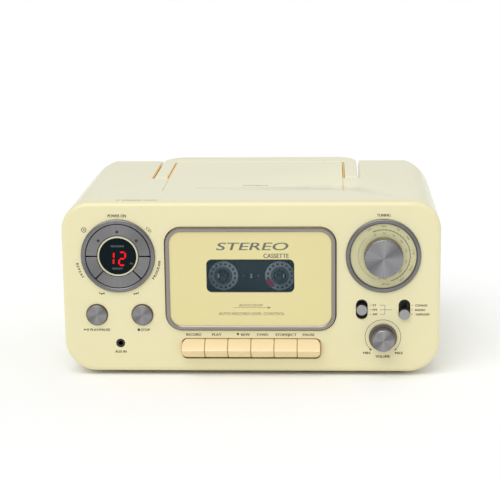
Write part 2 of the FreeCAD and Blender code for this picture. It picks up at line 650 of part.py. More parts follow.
def make_display_dial():
    """The left-hand dial: a fixed ring and upper arc, three buttons, and the display."""
    x = "-dial_x"
    ring = [("dial_ring_bore", "-7"), ("dial_hole_r - 0.1", "-7"), ("dial_hole_r - 0.1", "0"), ("dial_ring_r", "0"),
            ("dial_ring_r", "1"), ("dial_ring_r - 0.8", "2"), ("dial_ring_bore + 0.8", "2"), ("dial_ring_bore", "1.2")]
    rim = turned(FRONT, ring, x, depth(0), "dial_z", "dial_rim")
    web = rod("y", "dial_ring_bore + 0.5", x, (depth(5), depth(7)), "dial_z", "dial_web")
    arc = sector(x, 0, 180, -1.4, 5.5, "upper_arc")
    collar = cut(rod("y", "segment_inner_r", x, (depth(-1.8), depth(5.5)), "dial_z", "collar_outer"),
                 [rod("y", "display_r + 0.05", x, (depth(-9), depth(20)), "dial_z", "collar_bore")], "collar")
    bridge = cut(rod("y", "segment_outer_r + 0.6", x, (depth(-1), depth(5.5)), "dial_z", "arc_root", 180, 0),
                 [rod("y", "segment_inner_r - 0.5", x, (depth(-9), depth(20)), "dial_z", "arc_root_bore")],
                 "arc_bridge")
    stem_holes = [dial_rod("2.3", 19.5, spot, -9, 20, "stem_hole") for _, _, spot in DIAL_BUTTONS.values()]
    lamp_holes = [dial_rod("1.1", 18.4, spot, -9, 20, "lamp_hole") for spot in LAMP_ANGLES]
    body = join([rim, web, arc, collar, bridge], "dial_joined")
    node("display_bezel", cut(body, [*stem_holes, *lamp_holes], "display_bezel"))

    for name, (start, sweep, spot) in DIAL_BUTTONS.items():
        pad = sector(x, start, sweep, -1.4, 3, name + "_pad")
        stem = dial_rod("1.9", 19.5, spot, 2.5, 8.4, name + "_stem")
        node(name, join([pad, stem], name))
    lens = rod("y", "display_r", x, (depth(-0.9), depth(1)), "dial_z", "lens_disc")
    node("display_lens", lens)
    board = block((f"{x} - 24", f"{x} + 24"), (depth(9.8), depth(11.4)), ("dial_z - 24", "dial_z + 26"), "board")
    digits = block((f"{x} - 8", f"{x} + 8"), (depth(7), depth(9.9)), ("dial_z - 7", "dial_z + 7"), "digit_block")
    tips = [dial_rod("1", 18.4, spot, -1.6, 9.9, "lamp") for spot in LAMP_ANGLES]
    node("display_board", join([board, digits, *tips], "display_board"))


def make_transport_buttons():
    """The play and stop buttons: dished metal caps on plungers."""
    cap = [("0", "-8"), ("2", "-8"), ("2", "-3"), ("button_r", "-3"), ("button_r", "1.6"), ("button_r - 0.6", "2.2"),
           ("0", "1.8")]
    for name, x in zip(("play_pause_button", "stop_button"), button_xs()):
        node(name, turned(FRONT, cap, x, depth(0), "button_z", name))


def make_aux_jack():
    """A 3.5 mm stereo socket whose nose fills the hole in the face."""
    body = block(("-dial_x - 5.5", "-dial_x + 5.5"), (depth("wall"), depth(17)), ("jack_z - 5", "jack_z + 5"),
                 "jack_body")
    nose = rod("y", "3.3", "-dial_x", (depth(0.4), depth(4)), "jack_z", "jack_nose")
    bore = rod("y", "jack_bore_r", "-dial_x", (depth(-1), depth(15)), "jack_z", "jack_bore")
    node("aux_jack", cut(join([body, nose], "jack_joined"), [bore], "aux_jack"))


def make_tuning_dial():
    """The right-hand dial: trim ring, scale plate, knob and the tuning capacitor behind it."""
    ring = [("dial_ring_bore", "-4"), ("dial_hole_r - 0.1", "-4"), ("dial_hole_r - 0.1", "0"), ("dial_ring_r", "0"),
            ("dial_ring_r", "1"), ("dial_ring_r - 0.8", "2"), ("dial_ring_bore + 0.8", "2"), ("dial_ring_bore", "1.2")]
    node("tuning_trim_ring", turned(FRONT, ring, "dial_x", depth(0), "dial_z", "tuning_trim_ring"))
    plate = rod("y", "dial_ring_bore - 0.05", "dial_x", (depth(-0.3), depth(1.7)), "dial_z", "plate_disc")
    eye = rod("y", "3.6", "dial_x", (depth(-5), depth(5)), "dial_z", "plate_eye")
    node("tuning_dial_plate", cut(plate, [eye], "tuning_dial_plate"))
    knob = [("0", "-10"), ("3", "-10"), ("3", "1"), ("13.6", "1"), ("14.4", "1.8"), ("14.2", "10.2"), ("13.4", "11"),
            ("0", "10.7")]
    node("tuning_knob", turned(FRONT, knob, "dial_x", depth(0), "dial_z", "tuning_knob"))
    can = block(("dial_x - 12", "dial_x + 12"), (depth(4.5), depth(20)), ("dial_z - 12", "dial_z + 12"),
                "capacitor_can")
    bore = rod("y", "3 + running", "dial_x", (depth(0), depth(11)), "dial_z", "capacitor_bore")
    node("tuning_capacitor", cut(can, [bore], "tuning_capacitor"))


def make_volume():
    """The volume knob with its skirt, and the potentiometer behind the face."""
    knob = [("0", "-9"), ("3", "-9"), ("3", "0.6"), ("10.4", "0.6"), ("10.4", "1.8"), ("9.2", "2.6"), ("8.5", "3"),
            ("8.3", "11.2"), ("7.5", "12"), ("0", "11.7")]
    node("volume_knob", turned(FRONT, knob, "dial_x", depth(0), "volume_z", "volume_knob"))
    pot = rod("y", "8.5", "dial_x", (depth(4), depth(14)), "volume_z", "pot_can")
    bush = rod("y", "3.9", "dial_x", (depth(0.6), depth(4.5)), "volume_z", "pot_bush")
    bore = rod("y", "3 + running", "dial_x", (depth(-1), depth(10)), "volume_z", "pot_bore")
    node("volume_pot", cut(join([pot, bush], "pot_joined"), [bore], "volume_pot"))


def make_slide_switches():
    """Two three-position slide switches, one resting in the middle and one at the bottom."""
    rests = (("band_switch_knob", "0"), ("function_switch_knob", "-switch_step"))
    for (name, rest), x in zip(rests, switch_xs()):
        grip = rounded_panel((f"{x} - 3.9", f"{x} + 3.9"), (f"switch_z + {rest} - 3.9", f"switch_z + {rest} + 3.9"),
                             -2.6, 3.2, "3.8", name + "_grip")
        stalk = block((f"{x} - 1.5", f"{x} + 1.5"), (depth(3), depth(7)),
                      (f"switch_z + {rest} - 1.5", f"switch_z + {rest} + 1.5"), name + "_stalk")
        node(name, join([grip, stalk], name))
    board = block(("dial_x - 26", "dial_x + 26"), (depth(12), depth(13.6)), ("switch_z - 9", "switch_z + 11"), "board")
    housings = []
    for x in switch_xs():
        case = block((f"{x} - 5.5", f"{x} + 5.5"), (depth(4.4), depth(12.2)), ("switch_z - 9", "switch_z + 9"), "case")
        track = block((f"{x} - 1.9", f"{x} + 1.9"), (depth(3), depth(8)),
                      ("switch_z - switch_step - 1.9", "switch_z + switch_step + 1.9"), "track")
        housings.append(cut(case, [track], "switch_housing"))
    node("tuner_board", join([board, *housings], "tuner_board"))


def make_speakers():
    """A driver behind each side wall: a cone basket that narrows to its magnet."""
    profile = [("0", "0"), ("19", "0"), ("19", "9"), ("14", "9"), ("14", "12"), ("speaker_r - 4", "26"),
               ("speaker_r", "26"), ("speaker_r", "28.5"), ("speaker_r - 6", "28.5"), ("8", "16"), ("0", "18")]
    drivers = []
    for turn, x in ((RIGHT, "half_width - wall - 28.5 - 0.2"), (RIGHT.inverted(), "-half_width + wall + 28.5 + 0.2")):
        drivers.append(turned(turn, profile, x, depth("speaker_d"), "speaker_z", "driver"))
    node("speaker_drivers", join(drivers, "speaker_drivers"))


def make_aerial():
    """The telescopic aerial: a swivelling base and three tubes, stowed level behind the set."""
    post = [("0", "-9"), ("2.45", "-9"), ("2.45", "0.4"), ("5.5", "0.4"), ("5.5", "2"), ("4.2", "2"), ("4.2", "7.4"),
            ("3.6", "8"), ("0", "8")]
    back = FreeCAD.Rotation(FreeCAD.Vector(1, 0, 0), -90)
    head = turned(back, post, "aerial_x", depth("depth"), "aerial_z", "aerial_post")
    fork = block(("aerial_x - 6", "aerial_x + 3.2"), (depth("aerial_d - 3"), depth("aerial_d + 5")),
                 ("aerial_z - 1.3", "aerial_z + 1.3"), "fork_slot")
    node("aerial_base", cut(head, [fork], "aerial_base"))
    along = FreeCAD.Rotation(FreeCAD.Vector(0, 1, 0), -90)
    lower = [("0", "0"), ("aerial_r", "0"), ("aerial_r", "128"), ("2.45", "128"), ("2.45", "4"), ("0", "4")]
    start = "aerial_x - 5.6"
    place = (depth("aerial_d"), "aerial_z")
    tube = turned(along, lower, start, *place, "lower_tube")
    tongue = block(("aerial_x - 6.5", "aerial_x"), (depth("aerial_d - 2.2"), depth("aerial_d + 2.2")),
                   ("aerial_z - 1", "aerial_z + 1"), "tongue")
    eye = rod("z", "2.2", "aerial_x", depth("aerial_d"), ("aerial_z - 1", "aerial_z + 1"), "tongue_eye")
    node("aerial_lower_tube", join([tube, tongue, eye], "aerial_lower_tube"))
    middle = [("0", "5"), ("2.4", "5"), ("2.4", "131"), ("1.65", "131"), ("1.65", "8"), ("0", "8")]
    node("aerial_middle_tube", turned(along, middle, start, *place, "aerial_middle_tube"))
    tip = [("0", "9"), ("1.6", "9"), ("1.6", "133"), ("3", "133.4"), ("3", "139"), ("2.2", "140"), ("0", "140")]
    node("aerial_tip", turned(along, tip, start, *place, "aerial_tip"))


def make_electrics():
    """The main board, the mains transformer and the two-pin mains inlet."""
    board = block(("-85", "100"), (depth(62), depth(168)), ("14", "15.6"), "board_blank")
    legs = [rod("z", "3", x, depth(d), ("base_z + wall", "14"), "board_leg") for x in ("-80", "95") for d in (67, 163)]
    node("main_board", join([board, *legs], "main_board"))
    core = block(("-70", "-30"), (depth(120), depth(160)), ("15.6", "50"), "core")
    coil = rod("x", "17", ("-78", "-22"), depth(140), "33.6", "coil")
    node("mains_transformer", join([core, coil], "mains_transformer"))
    body = block(("-72", "-48"), (depth("depth - 20"), depth("depth - 0.5")), ("22", "38"), "inlet_body")
    flange = block(("-76", "-44"), (depth("depth - 5.5"), depth("depth - wall - 0.1")), ("18", "42"), "inlet_flange")
    sockets = rounded_panel(("-69", "-51"), ("25.5", "34.5"), "depth - 16", "depth + 5", "4.4", "inlet_socket")
    pins = [rod("y", "1.2", x, (depth("depth - 17"), depth("depth - 5")), "30", "inlet_pin")
            for x in ("-64.3", "-55.7")]
    hollow = cut(join([body, flange], "inlet_joined"), [sockets], "inlet_hollow")
    node("mains_inlet", join([hollow, *pins], "mains_inlet"))


def make_feet_and_screws():
    """Four rubber feet and the screws that hold the two halves of the cabinet together."""
    spots = [(x, d) for x in ("-100", "100") for d in (25, 140)]
    pads = [rod("z", "8", x, depth(d), ("0", "base_z"), "foot") for x, d in spots]
    node("rubber_feet", join(pads, "rubber_feet"))
    places = [(x, z) for x in ("-75", "75") for z in ("20", "86")]
    heads = [turned(FreeCAD.Rotation(FreeCAD.Vector(1, 0, 0), -90),
                    [("0", "0"), ("3", "0"), ("3", "1"), ("2", "1.8"), ("0", "1.8")],
                    x, depth("depth"), z, "screw") for x, z in places]
    node("housing_screws", join(heads, "housing_screws"))


def build():
    outer = cabinet_form("0", "cabinet_outer")
    inner = cabinet_form("wall", "cabinet_inner")
    make_front_panel(outer, inner)
    make_rear_cabinet(outer, inner)
    make_cd_deck()
    make_cd_lid(outer, inner)
    make_handle()
    make_cassette_door()
    make_tape_deck()
    make_keys()
    make_display_dial()
    make_transport_buttons()
    make_aux_jack()
    make_tuning_dial()
    make_volume()
    make_slide_switches()
    make_speakers()
    make_aerial()
    make_electrics()
    make_feet_and_screws()
    doc.recompute()


def check_and_write():
    """Stops at any failed object or bad solid, then writes one file a piece."""
    failed = [item.Label for item in doc.Objects if "Invalid" in item.State or "Error" in item.State]
    if failed:
        raise RuntimeError("failed objects: " + ", ".join(failed))
    for name, thing in NODES.items():
        shape = thing.Shape
        if shape.isNull() or not shape.isValid() or not shape.Solids:
            raise RuntimeError("bad solid: " + name)
    os.makedirs("parts", exist_ok=True)
    for name, thing in NODES.items():
        thing.Shape.exportStep(f"parts/{name}.step")
        print(f"{name:22s} solids {len(thing.Shape.Solids)}  volume {thing.Shape.Volume:10.1f} mm3")


build()
check_and_write()
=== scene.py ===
"""Looks of a portable cassette, disc and radio set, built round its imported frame."""

import json
import math

import bmesh
import bpy
import numpy as np
from bpy.props import EnumProperty, FloatProperty, FloatVectorProperty, IntProperty, PointerProperty
from mathutils import Matrix, Vector

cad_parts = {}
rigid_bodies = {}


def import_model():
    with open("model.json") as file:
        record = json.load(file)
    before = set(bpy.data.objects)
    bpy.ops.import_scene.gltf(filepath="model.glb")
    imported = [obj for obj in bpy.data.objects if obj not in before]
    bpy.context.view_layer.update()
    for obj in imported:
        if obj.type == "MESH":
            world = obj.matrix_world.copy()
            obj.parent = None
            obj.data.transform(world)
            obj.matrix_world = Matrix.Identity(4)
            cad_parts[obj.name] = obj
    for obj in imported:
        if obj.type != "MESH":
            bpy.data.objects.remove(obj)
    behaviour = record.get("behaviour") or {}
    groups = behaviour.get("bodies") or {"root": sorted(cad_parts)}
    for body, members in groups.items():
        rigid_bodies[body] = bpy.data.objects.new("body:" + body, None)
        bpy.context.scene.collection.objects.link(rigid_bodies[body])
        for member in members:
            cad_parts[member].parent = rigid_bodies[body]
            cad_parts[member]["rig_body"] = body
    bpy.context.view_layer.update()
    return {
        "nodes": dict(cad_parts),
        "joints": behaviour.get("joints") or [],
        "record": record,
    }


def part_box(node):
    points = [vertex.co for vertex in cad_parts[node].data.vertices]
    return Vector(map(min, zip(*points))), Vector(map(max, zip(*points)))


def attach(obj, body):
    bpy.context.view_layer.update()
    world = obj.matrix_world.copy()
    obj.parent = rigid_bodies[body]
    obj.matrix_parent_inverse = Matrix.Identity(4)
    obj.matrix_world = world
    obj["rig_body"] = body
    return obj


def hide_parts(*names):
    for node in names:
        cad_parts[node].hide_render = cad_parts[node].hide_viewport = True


bl_info = {
    "name": "Portable Hifi Looks",
    "version": (1, 0, 0),
    "blender": (4, 5, 0),
    "location": "View3D > Sidebar > Hifi",
    "description": "Casing, dials, keys, lettering and stage of a portable cassette and disc set",
    "category": "Object",
}

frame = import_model()
NODES = frame["nodes"]
MM = 0.001


def middle(node):
    """The middle of a CAD node's box, in metres."""
    low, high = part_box(node)
    return (low + high) / 2


def joint_spot(name):
    """The pivot that a joint of the frame states, in metres."""
    return Vector(next(j["pos_m"] for j in frame["joints"] if j["name"] == name))


FACE_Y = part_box("front_panel")[0].y                 # plane of the front face
BASE_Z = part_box("front_panel")[0].z                 # underside of the cabinet
WINDOW_LOW, WINDOW_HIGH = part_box("cassette_window")
LEFT_DIAL = middle("display_lens")
RIGHT_DIAL = middle("tuning_dial_plate")
VOLUME = joint_spot("volume_turn")
REELS = {"supply_reel": joint_spot("supply_reel_spin"), "takeup_reel": joint_spot("takeup_reel_spin")}


# ---------------------------------------------------------------- settings

class HifiSettings(bpy.types.PropertyGroup):
    """Colours and sizes that a user would change."""
    face_colour: FloatVectorProperty(
        name="Face", description="Moulded colour of the front face", subtype="COLOR", size=3,
        min=0, max=1, default=(0.808, 0.745, 0.455))
    # Paler and less yellow than the face: the same cream with painted sheen, for the white that the glossy top
    # reflects at a grazing angle.
    case_colour: FloatVectorProperty(
        name="Case", description="Moulded colour of the case, lid and handle", subtype="COLOR", size=3,
        min=0, max=1, default=(0.822, 0.80, 0.57))
    door_colour: FloatVectorProperty(
        name="Door", description="Colour of the cassette door", subtype="COLOR", size=3,
        min=0, max=1, default=(0.756, 0.68, 0.33))
    key_colour: FloatVectorProperty(
        name="Keys", description="Colour of the piano keys", subtype="COLOR", size=3,
        min=0, max=1, default=(0.87, 0.69, 0.38))
    ink_colour: FloatVectorProperty(
        name="Ink", description="Colour of the printed words", subtype="COLOR", size=3,
        min=0, max=1, default=(0.06, 0.05, 0.04))
    ink_depth: FloatProperty(
        name="Ink depth", description="How far the print stands off the moulding", subtype="DISTANCE",
        unit="LENGTH", default=0.00004, min=0.00001, max=0.0002)
    key_round: FloatProperty(
        name="Key rounding", description="Radius of the keys' edges", subtype="DISTANCE", unit="LENGTH",
        default=0.0009, min=0.0002, max=0.002)
    knurl_count: IntProperty(
        name="Knurls", description="Ridges round the tuning knob", default=60, min=12, max=120)
    light_level: FloatProperty(
        name="Light", description="Strength of the studio lights", default=1.0, min=0.1, max=5)


def settings():
    return bpy.context.scene.hifi


# ---------------------------------------------------------------- node helpers

def add_node(tree, kind, **inputs):
    """A node in a tree, with its unlinked input values given by name."""
    node = tree.nodes.new(kind)
    for name, value in inputs.items():
        node.inputs[name.replace("_", " ")].default_value = value
    return node


def maths(tree, operation, a, b=None):
    """A maths node; a and b are sockets or numbers."""
    node = tree.nodes.new("ShaderNodeMath")
    node.operation = operation
    for index, item in enumerate((a, b)):
        if item is None:
            continue
        if isinstance(item, (int, float)):
            node.inputs[index].default_value = item
        else:
            tree.links.new(item, node.inputs[index])
    return node.outputs[0]


def new_group(name, inputs, outputs):
    """An empty shader node group with named sockets."""
    group = bpy.data.node_groups.new(name, "ShaderNodeTree")
    for label, kind, value in inputs:
        socket = group.interface.new_socket(name=label, in_out="INPUT", socket_type=kind)
        if value is not None:
            socket.default_value = value
    for label, kind in outputs:
        group.interface.new_socket(name=label, in_out="OUTPUT", socket_type=kind)
    return group, group.nodes.new("NodeGroupInput"), group.nodes.new("NodeGroupOutput")


def moulding_group():
    """Fine mould texture and slow drift of tone. Height is two noises, one at the grain and one
    ten times wider; Tone is a very wide noise about one."""
    group, source, sink = new_group(
        "moulding", [("Vector", "NodeSocketVector", None), ("Grain per mm", "NodeSocketFloat", 2.0),
                     ("Drift", "NodeSocketFloat", 0.03)],
        [("Height", "NodeSocketFloat"), ("Tone", "NodeSocketFloat"), ("Rough", "NodeSocketFloat")])
    link = group.links.new
    grain = add_node(group, "ShaderNodeTexNoise", Detail=2.0, Roughness=0.6)
    wave = add_node(group, "ShaderNodeTexNoise", Detail=1.0, Roughness=0.5)
    wide = add_node(group, "ShaderNodeTexNoise", Scale=14.0, Detail=2.0, Roughness=0.5)
    fine = maths(group, "MULTIPLY", source.outputs["Grain per mm"], 1000.0)
    coarse = maths(group, "MULTIPLY", fine, 0.1)
    for tex, scale in ((grain, fine), (wave, coarse)):
        link(source.outputs["Vector"], tex.inputs["Vector"])
        link(scale, tex.inputs["Scale"])
    link(source.outputs["Vector"], wide.inputs["Vector"])
    height = maths(group, "ADD", grain.outputs["Fac"], maths(group, "MULTIPLY", wave.outputs["Fac"], 0.6))
    link(height, sink.inputs["Height"])
    centred = maths(group, "SUBTRACT", wide.outputs["Fac"], 0.5)
    drift = maths(group, "MULTIPLY", centred, source.outputs["Drift"])
    link(maths(group, "ADD", drift, 1.0), sink.inputs["Tone"])
    worn = maths(group, "SUBTRACT", wave.outputs["Fac"], 0.5)
    link(maths(group, "MULTIPLY", worn, 0.12), sink.inputs["Rough"])
    return group


def turning_and_sheen_group():
    """Marks left by a lathe about the Y axis, and painted highlight. Rings is a fine noise of the radius alone; the
    second output is a soft pattern of the angle, two broad light bands with thin streaks in them, a painted highlight
    that stands in the colour for the light a turned metal face reflects."""
    group, source, sink = new_group(
        "turning", [("Vector", "NodeSocketVector", None), ("Rings per mm", "NodeSocketFloat", 6.0)],
        [("Rings", "NodeSocketFloat"), ("Fan", "NodeSocketFloat")])
    link = group.links.new
    split = group.nodes.new("ShaderNodeSeparateXYZ")
    link(source.outputs["Vector"], split.inputs[0])
    x, z = split.outputs["X"], split.outputs["Z"]
    squares = maths(group, "ADD", maths(group, "MULTIPLY", x, x), maths(group, "MULTIPLY", z, z))
    radius = maths(group, "SQRT", squares)
    rings = add_node(group, "ShaderNodeTexNoise", Detail=3.0, Roughness=0.7)
    rings.noise_dimensions = "1D"
    link(maths(group, "MULTIPLY", radius, maths(group, "MULTIPLY", source.outputs["Rings per mm"], 1000.0)),
         rings.inputs["W"])
    rings.inputs["Scale"].default_value = 1.0
    link(rings.outputs["Fac"], sink.inputs["Rings"])
    # Painted highlight: broad light bands and thin streaks by angle, for the colour.
    angle = maths(group, "ARCTAN2", z, x)
    broad = maths(group, "COSINE", maths(group, "ADD", maths(group, "MULTIPLY", angle, 4.0), 0.6))
    second = maths(group, "COSINE", maths(group, "ADD", maths(group, "MULTIPLY", angle, 2.0), 2.2))
    streaks = add_node(group, "ShaderNodeTexNoise", Detail=2.0, Roughness=0.6)
    streaks.noise_dimensions = "1D"
    streaks.inputs["Scale"].default_value = 9.0
    link(maths(group, "ABSOLUTE", angle), streaks.inputs["W"])
    sheen_bands = maths(group, "ADD", maths(group, "MULTIPLY", broad, 0.3), maths(group, "MULTIPLY", second, 0.3))
    thin = maths(group, "MULTIPLY", maths(group, "SUBTRACT", streaks.outputs["Fac"], 0.5), 0.7)
    sheen_bands = maths(group, "ADD", sheen_bands, thin)
    link(maths(group, "ADD", maths(group, "MULTIPLY", sheen_bands, 0.5), 0.5), sink.inputs["Fan"])
    return group


def brushing_group():
    """Straight brushing along X: a noise stretched sixty times along the stroke."""
    group, source, sink = new_group(
        "brushing", [("Vector", "NodeSocketVector", None), ("Strokes per mm", "NodeSocketFloat", 3.0)],
        [("Strokes", "NodeSocketFloat")])
    squeeze = group.nodes.new("ShaderNodeMapping")
    squeeze.inputs["Scale"].default_value = (0.016, 1.0, 1.0)
    noise = add_node(group, "ShaderNodeTexNoise", Detail=3.0, Roughness=0.65)
    group.links.new(source.outputs["Vector"], squeeze.inputs["Vector"])
    group.links.new(squeeze.outputs[0], noise.inputs["Vector"])
    per_metre = maths(group, "MULTIPLY", source.outputs["Strokes per mm"], 1000.0)
    group.links.new(per_metre, noise.inputs["Scale"])
    group.links.new(noise.outputs["Fac"], sink.inputs["Strokes"])
    return group


GROUP_MAKERS = {"moulding": moulding_group, "turning": turning_and_sheen_group, "brushing": brushing_group}
GROUPS = {}


def group_node(tree, name):
    """An instance of one of the shared groups, which is built the first time it is asked for."""
    if name not in GROUPS:
        GROUPS[name] = GROUP_MAKERS[name]()
    node = tree.nodes.new("ShaderNodeGroup")
    node.node_tree = GROUPS[name]
    return node


def bare_material(name, **sockets):
    """A material with one Principled shader, its sockets given by name with underscores."""
    material = bpy.data.materials.new(name)
    material.use_nodes = True
    tree = material.node_tree
    tree.nodes.clear()
    out = tree.nodes.new("ShaderNodeOutputMaterial")
    shader = tree.nodes.new("ShaderNodeBsdfPrincipled")
    tree.links.new(shader.outputs[0], out.inputs["Surface"])
    for label, value in sockets.items():
        if label == "Base_Color" and len(value) == 3:
            value = (*value, 1.0)
        shader.inputs[label.replace("_", " ")].default_value = value
    return material, tree, shader


def place(tree, centre=(0, 0, 0)):
    """Object coordinates, counted from a centre."""
    coords = tree.nodes.new("ShaderNodeTexCoord")
    if not any(centre):
        return coords.outputs["Object"]
    shift = tree.nodes.new("ShaderNodeMapping")
    shift.inputs["Location"].default_value = [-c for c in centre]
    tree.links.new(coords.outputs["Object"], shift.inputs["Vector"])
    return shift.outputs[0]


def toned(tree, colour, tone):
    """A colour brightened by a factor that changes over the surface."""
    mix = tree.nodes.new("ShaderNodeVectorMath")
    mix.operation = "SCALE"
    mix.inputs[0].default_value = colour
    tree.links.new(tone, mix.inputs["Scale"])
    return mix.outputs[0]


def bump(tree, shader, height, distance, strength=1.0):
    """Feeds a height to a shader's normal; distance is the height's depth in metres."""
    node = tree.nodes.new("ShaderNodeBump")
    node.inputs["Strength"].default_value = strength
    node.inputs["Distance"].default_value = distance
    tree.links.new(height, node.inputs["Height"])
    tree.links.new(node.outputs[0], shader.inputs["Normal"])


def moulded(name, colour, roughness, grain, depth, coat=0.0, drift=0.03, specular=0.5):
    """Moulded plastic with a fine grain: so many bumps a mm, so many metres deep."""
    material, tree, shader = bare_material(name, Roughness=roughness, Coat_Weight=coat,
                                           Specular_IOR_Level=specular)
    shader.inputs["Coat Roughness"].default_value = 0.12
    group = group_node(tree, "moulding")
    group.inputs["Grain per mm"].default_value = grain
    group.inputs["Drift"].default_value = drift
    tree.links.new(place(tree), group.inputs["Vector"])
    tree.links.new(toned(tree, colour, group.outputs["Tone"]), shader.inputs["Base Color"])
    tree.links.new(maths(tree, "ADD", group.outputs["Rough"], roughness), shader.inputs["Roughness"])
    bump(tree, shader, group.outputs["Height"], depth)
    return material


def spun(name, centre, colour, roughness=0.3, sheen_strength=0.5):
    """Metal faced on a lathe, about a centre, with painted highlight: bands of light and shade by angle, put into the
    colour for the light that such a face reflects; the last value sets their strength.
    """
    material, tree, shader = bare_material(name, Metallic=1.0, Roughness=roughness, Anisotropic=0.75)
    group = group_node(tree, "turning")
    tree.links.new(place(tree, centre), group.inputs["Vector"])
    # Painted highlight: the angle bands lighten and darken the base colour.
    tone = maths(tree, "ADD", maths(tree, "MULTIPLY", group.outputs["Fan"], sheen_strength), 1.0 - sheen_strength / 2)
    tree.links.new(toned(tree, colour, tone), shader.inputs["Base Color"])
    rough = maths(tree, "ADD", maths(tree, "MULTIPLY", group.outputs["Rings"], 0.2), roughness - 0.1)
    tree.links.new(rough, shader.inputs["Roughness"])
    bump(tree, shader, group.outputs["Rings"], 0.000012)
    return material


def brushed(name, colour, roughness=0.35, strokes=3.0, metallic=1.0):
    """Brushed metal or metal lacquer."""
    material, tree, shader = bare_material(name, Metallic=metallic, Roughness=roughness)
    group = group_node(tree, "brushing")
    group.inputs["Strokes per mm"].default_value = strokes
    tree.links.new(place(tree), group.inputs["Vector"])
    tone = maths(tree, "ADD", maths(tree, "MULTIPLY", group.outputs["Strokes"], 0.3), 0.85)
    tree.links.new(toned(tree, colour, tone), shader.inputs["Base Color"])
    rough = maths(tree, "ADD", maths(tree, "MULTIPLY", group.outputs["Strokes"], 0.18), roughness - 0.09)
    tree.links.new(rough, shader.inputs["Roughness"])
    bump(tree, shader, group.outputs["Strokes"], 0.000006)
    return material


def glass(name, colour, alpha, roughness=0.06):
    """Thin smoked plastic that is seen through."""
    material, tree, shader = bare_material(name, Roughness=roughness, Alpha=alpha, Specular_IOR_Level=0.3)
    group = group_node(tree, "moulding")
    group.inputs["Grain per mm"].default_value = 0.2
    group.inputs["Drift"].default_value = 0.5
    tree.links.new(place(tree), group.inputs["Vector"])
    tree.links.new(toned(tree, colour, group.outputs["Tone"]), shader.inputs["Base Color"])
    return material


def lamp_material(name, colour, strength):
    """A lit segment or lamp."""
    material, tree, shader = bare_material(name, Roughness=0.6, Base_Color=[c * 0.4 for c in colour],
                                           Specular_IOR_Level=0.05)
    shader.inputs["Emission Color"].default_value = (*colour, 1.0)
    shader.inputs["Emission Strength"].default_value = strength
    return material


def dress(material, *nodes):
    """Gives CAD nodes a material."""
    for name in nodes:
        mesh = NODES[name].data
        mesh.materials.clear()
        mesh.materials.append(material)


# ---------------------------------------------------------------- surface helpers

def mesh_piece(name, points, faces, material, smooth=True):
    """An object from points and faces, its doubles merged and its normals turned outward."""
    mesh = bpy.data.meshes.new(name)
    mesh.from_pydata(np.asarray(points).reshape(-1, 3).tolist(), [], faces)
    work = bmesh.new()
    work.from_mesh(mesh)
    bmesh.ops.remove_doubles(work, verts=work.verts, dist=1e-7)
    bmesh.ops.dissolve_degenerate(work, edges=work.edges, dist=1e-8)
    bmesh.ops.recalc_face_normals(work, faces=work.faces)
    work.to_mesh(mesh)
    work.free()
    piece = bpy.data.objects.new(name, mesh)
    bpy.context.scene.collection.objects.link(piece)
    mesh.materials.append(material)
    if smooth:
        mesh.shade_smooth()
        mesh.set_sharp_from_angle(angle=math.radians(32))
    return piece


def grid_faces(rows, columns, wrap_rows, wrap_columns):
    """The quads of a grid of rows by columns, as a list of index lists."""
    r = np.arange(rows if wrap_rows else rows - 1)
    c = np.arange(columns if wrap_columns else columns - 1)
    i, j = np.meshgrid(r, c, indexing="ij")
    i2, j2 = (i + 1) % rows, (j + 1) % columns
    quads = np.stack([i * columns + j, i2 * columns + j, i2 * columns + j2, i * columns + j2], -1)
    return quads.reshape(-1, 4).tolist()


def lathe(name, profile, centre, material, segments=96, ridges=None, axis="front"):
    """A profile of (radius, height) pairs in mm turned about an axis through a centre. Point
    (r, h) at angle t goes to centre + r cos t, r sin t across the axis and h along it. Ridges
    (count, depth, low, high) wave the radius between two heights by depth times |cos|."""
    profile = np.asarray(profile) * MM
    t = np.linspace(0, 2 * np.pi, segments, endpoint=False)
    r = np.repeat(profile[:, :1], segments, 1)
    h = np.repeat(profile[:, 1:], segments, 1)
    if ridges:
        count, depth, low, high = ridges
        side = (h > low * MM) & (h < high * MM) & (r > profile[:, 0].max() * 0.6)
        r = np.where(side, r - depth * MM * np.abs(np.sin(count * t / 2))[None, :], r)
    across, up = r * np.cos(t), r * np.sin(t)
    if axis == "front":
        points = np.stack([centre[0] + across, centre[1] - h, centre[2] + up], -1)
    else:
        points = np.stack([centre[0] + across, centre[1] + up, centre[2] + h], -1)
    faces = grid_faces(len(profile), segments, False, True)
    return mesh_piece(name, points, faces, material)


def circle_path(x, z, radius, start=0.0, end=360.0, steps=96):
    """Points and outward directions along a circle on the face, angles in degrees from +X up."""
    closed = abs(end - start) >= 360
    t = np.radians(np.linspace(start, end, steps, endpoint=not closed))
    out = np.stack([np.cos(t), np.sin(t)], -1)
    return np.array([x, z]) + radius * out, out, closed


def box_path(low, high, radius, steps=14):
    """Points and outward directions round a rectangle with round corners on the face."""
    x0, z0, x1, z1 = low[0], low[1], high[0], high[1]
    hubs = [(x1 - radius, z0 + radius, -90), (x1 - radius, z1 - radius, 0),
            (x0 + radius, z1 - radius, 90), (x0 + radius, z0 + radius, 180)]
    points, outs = [], []
    for x, z, start in hubs:
        t = np.radians(np.linspace(start, start + 90, steps))
        out = np.stack([np.cos(t), np.sin(t)], -1)
        points.append(np.array([x, z]) + radius * out)
        outs.append(out)
    return np.concatenate(points), np.concatenate(outs), True


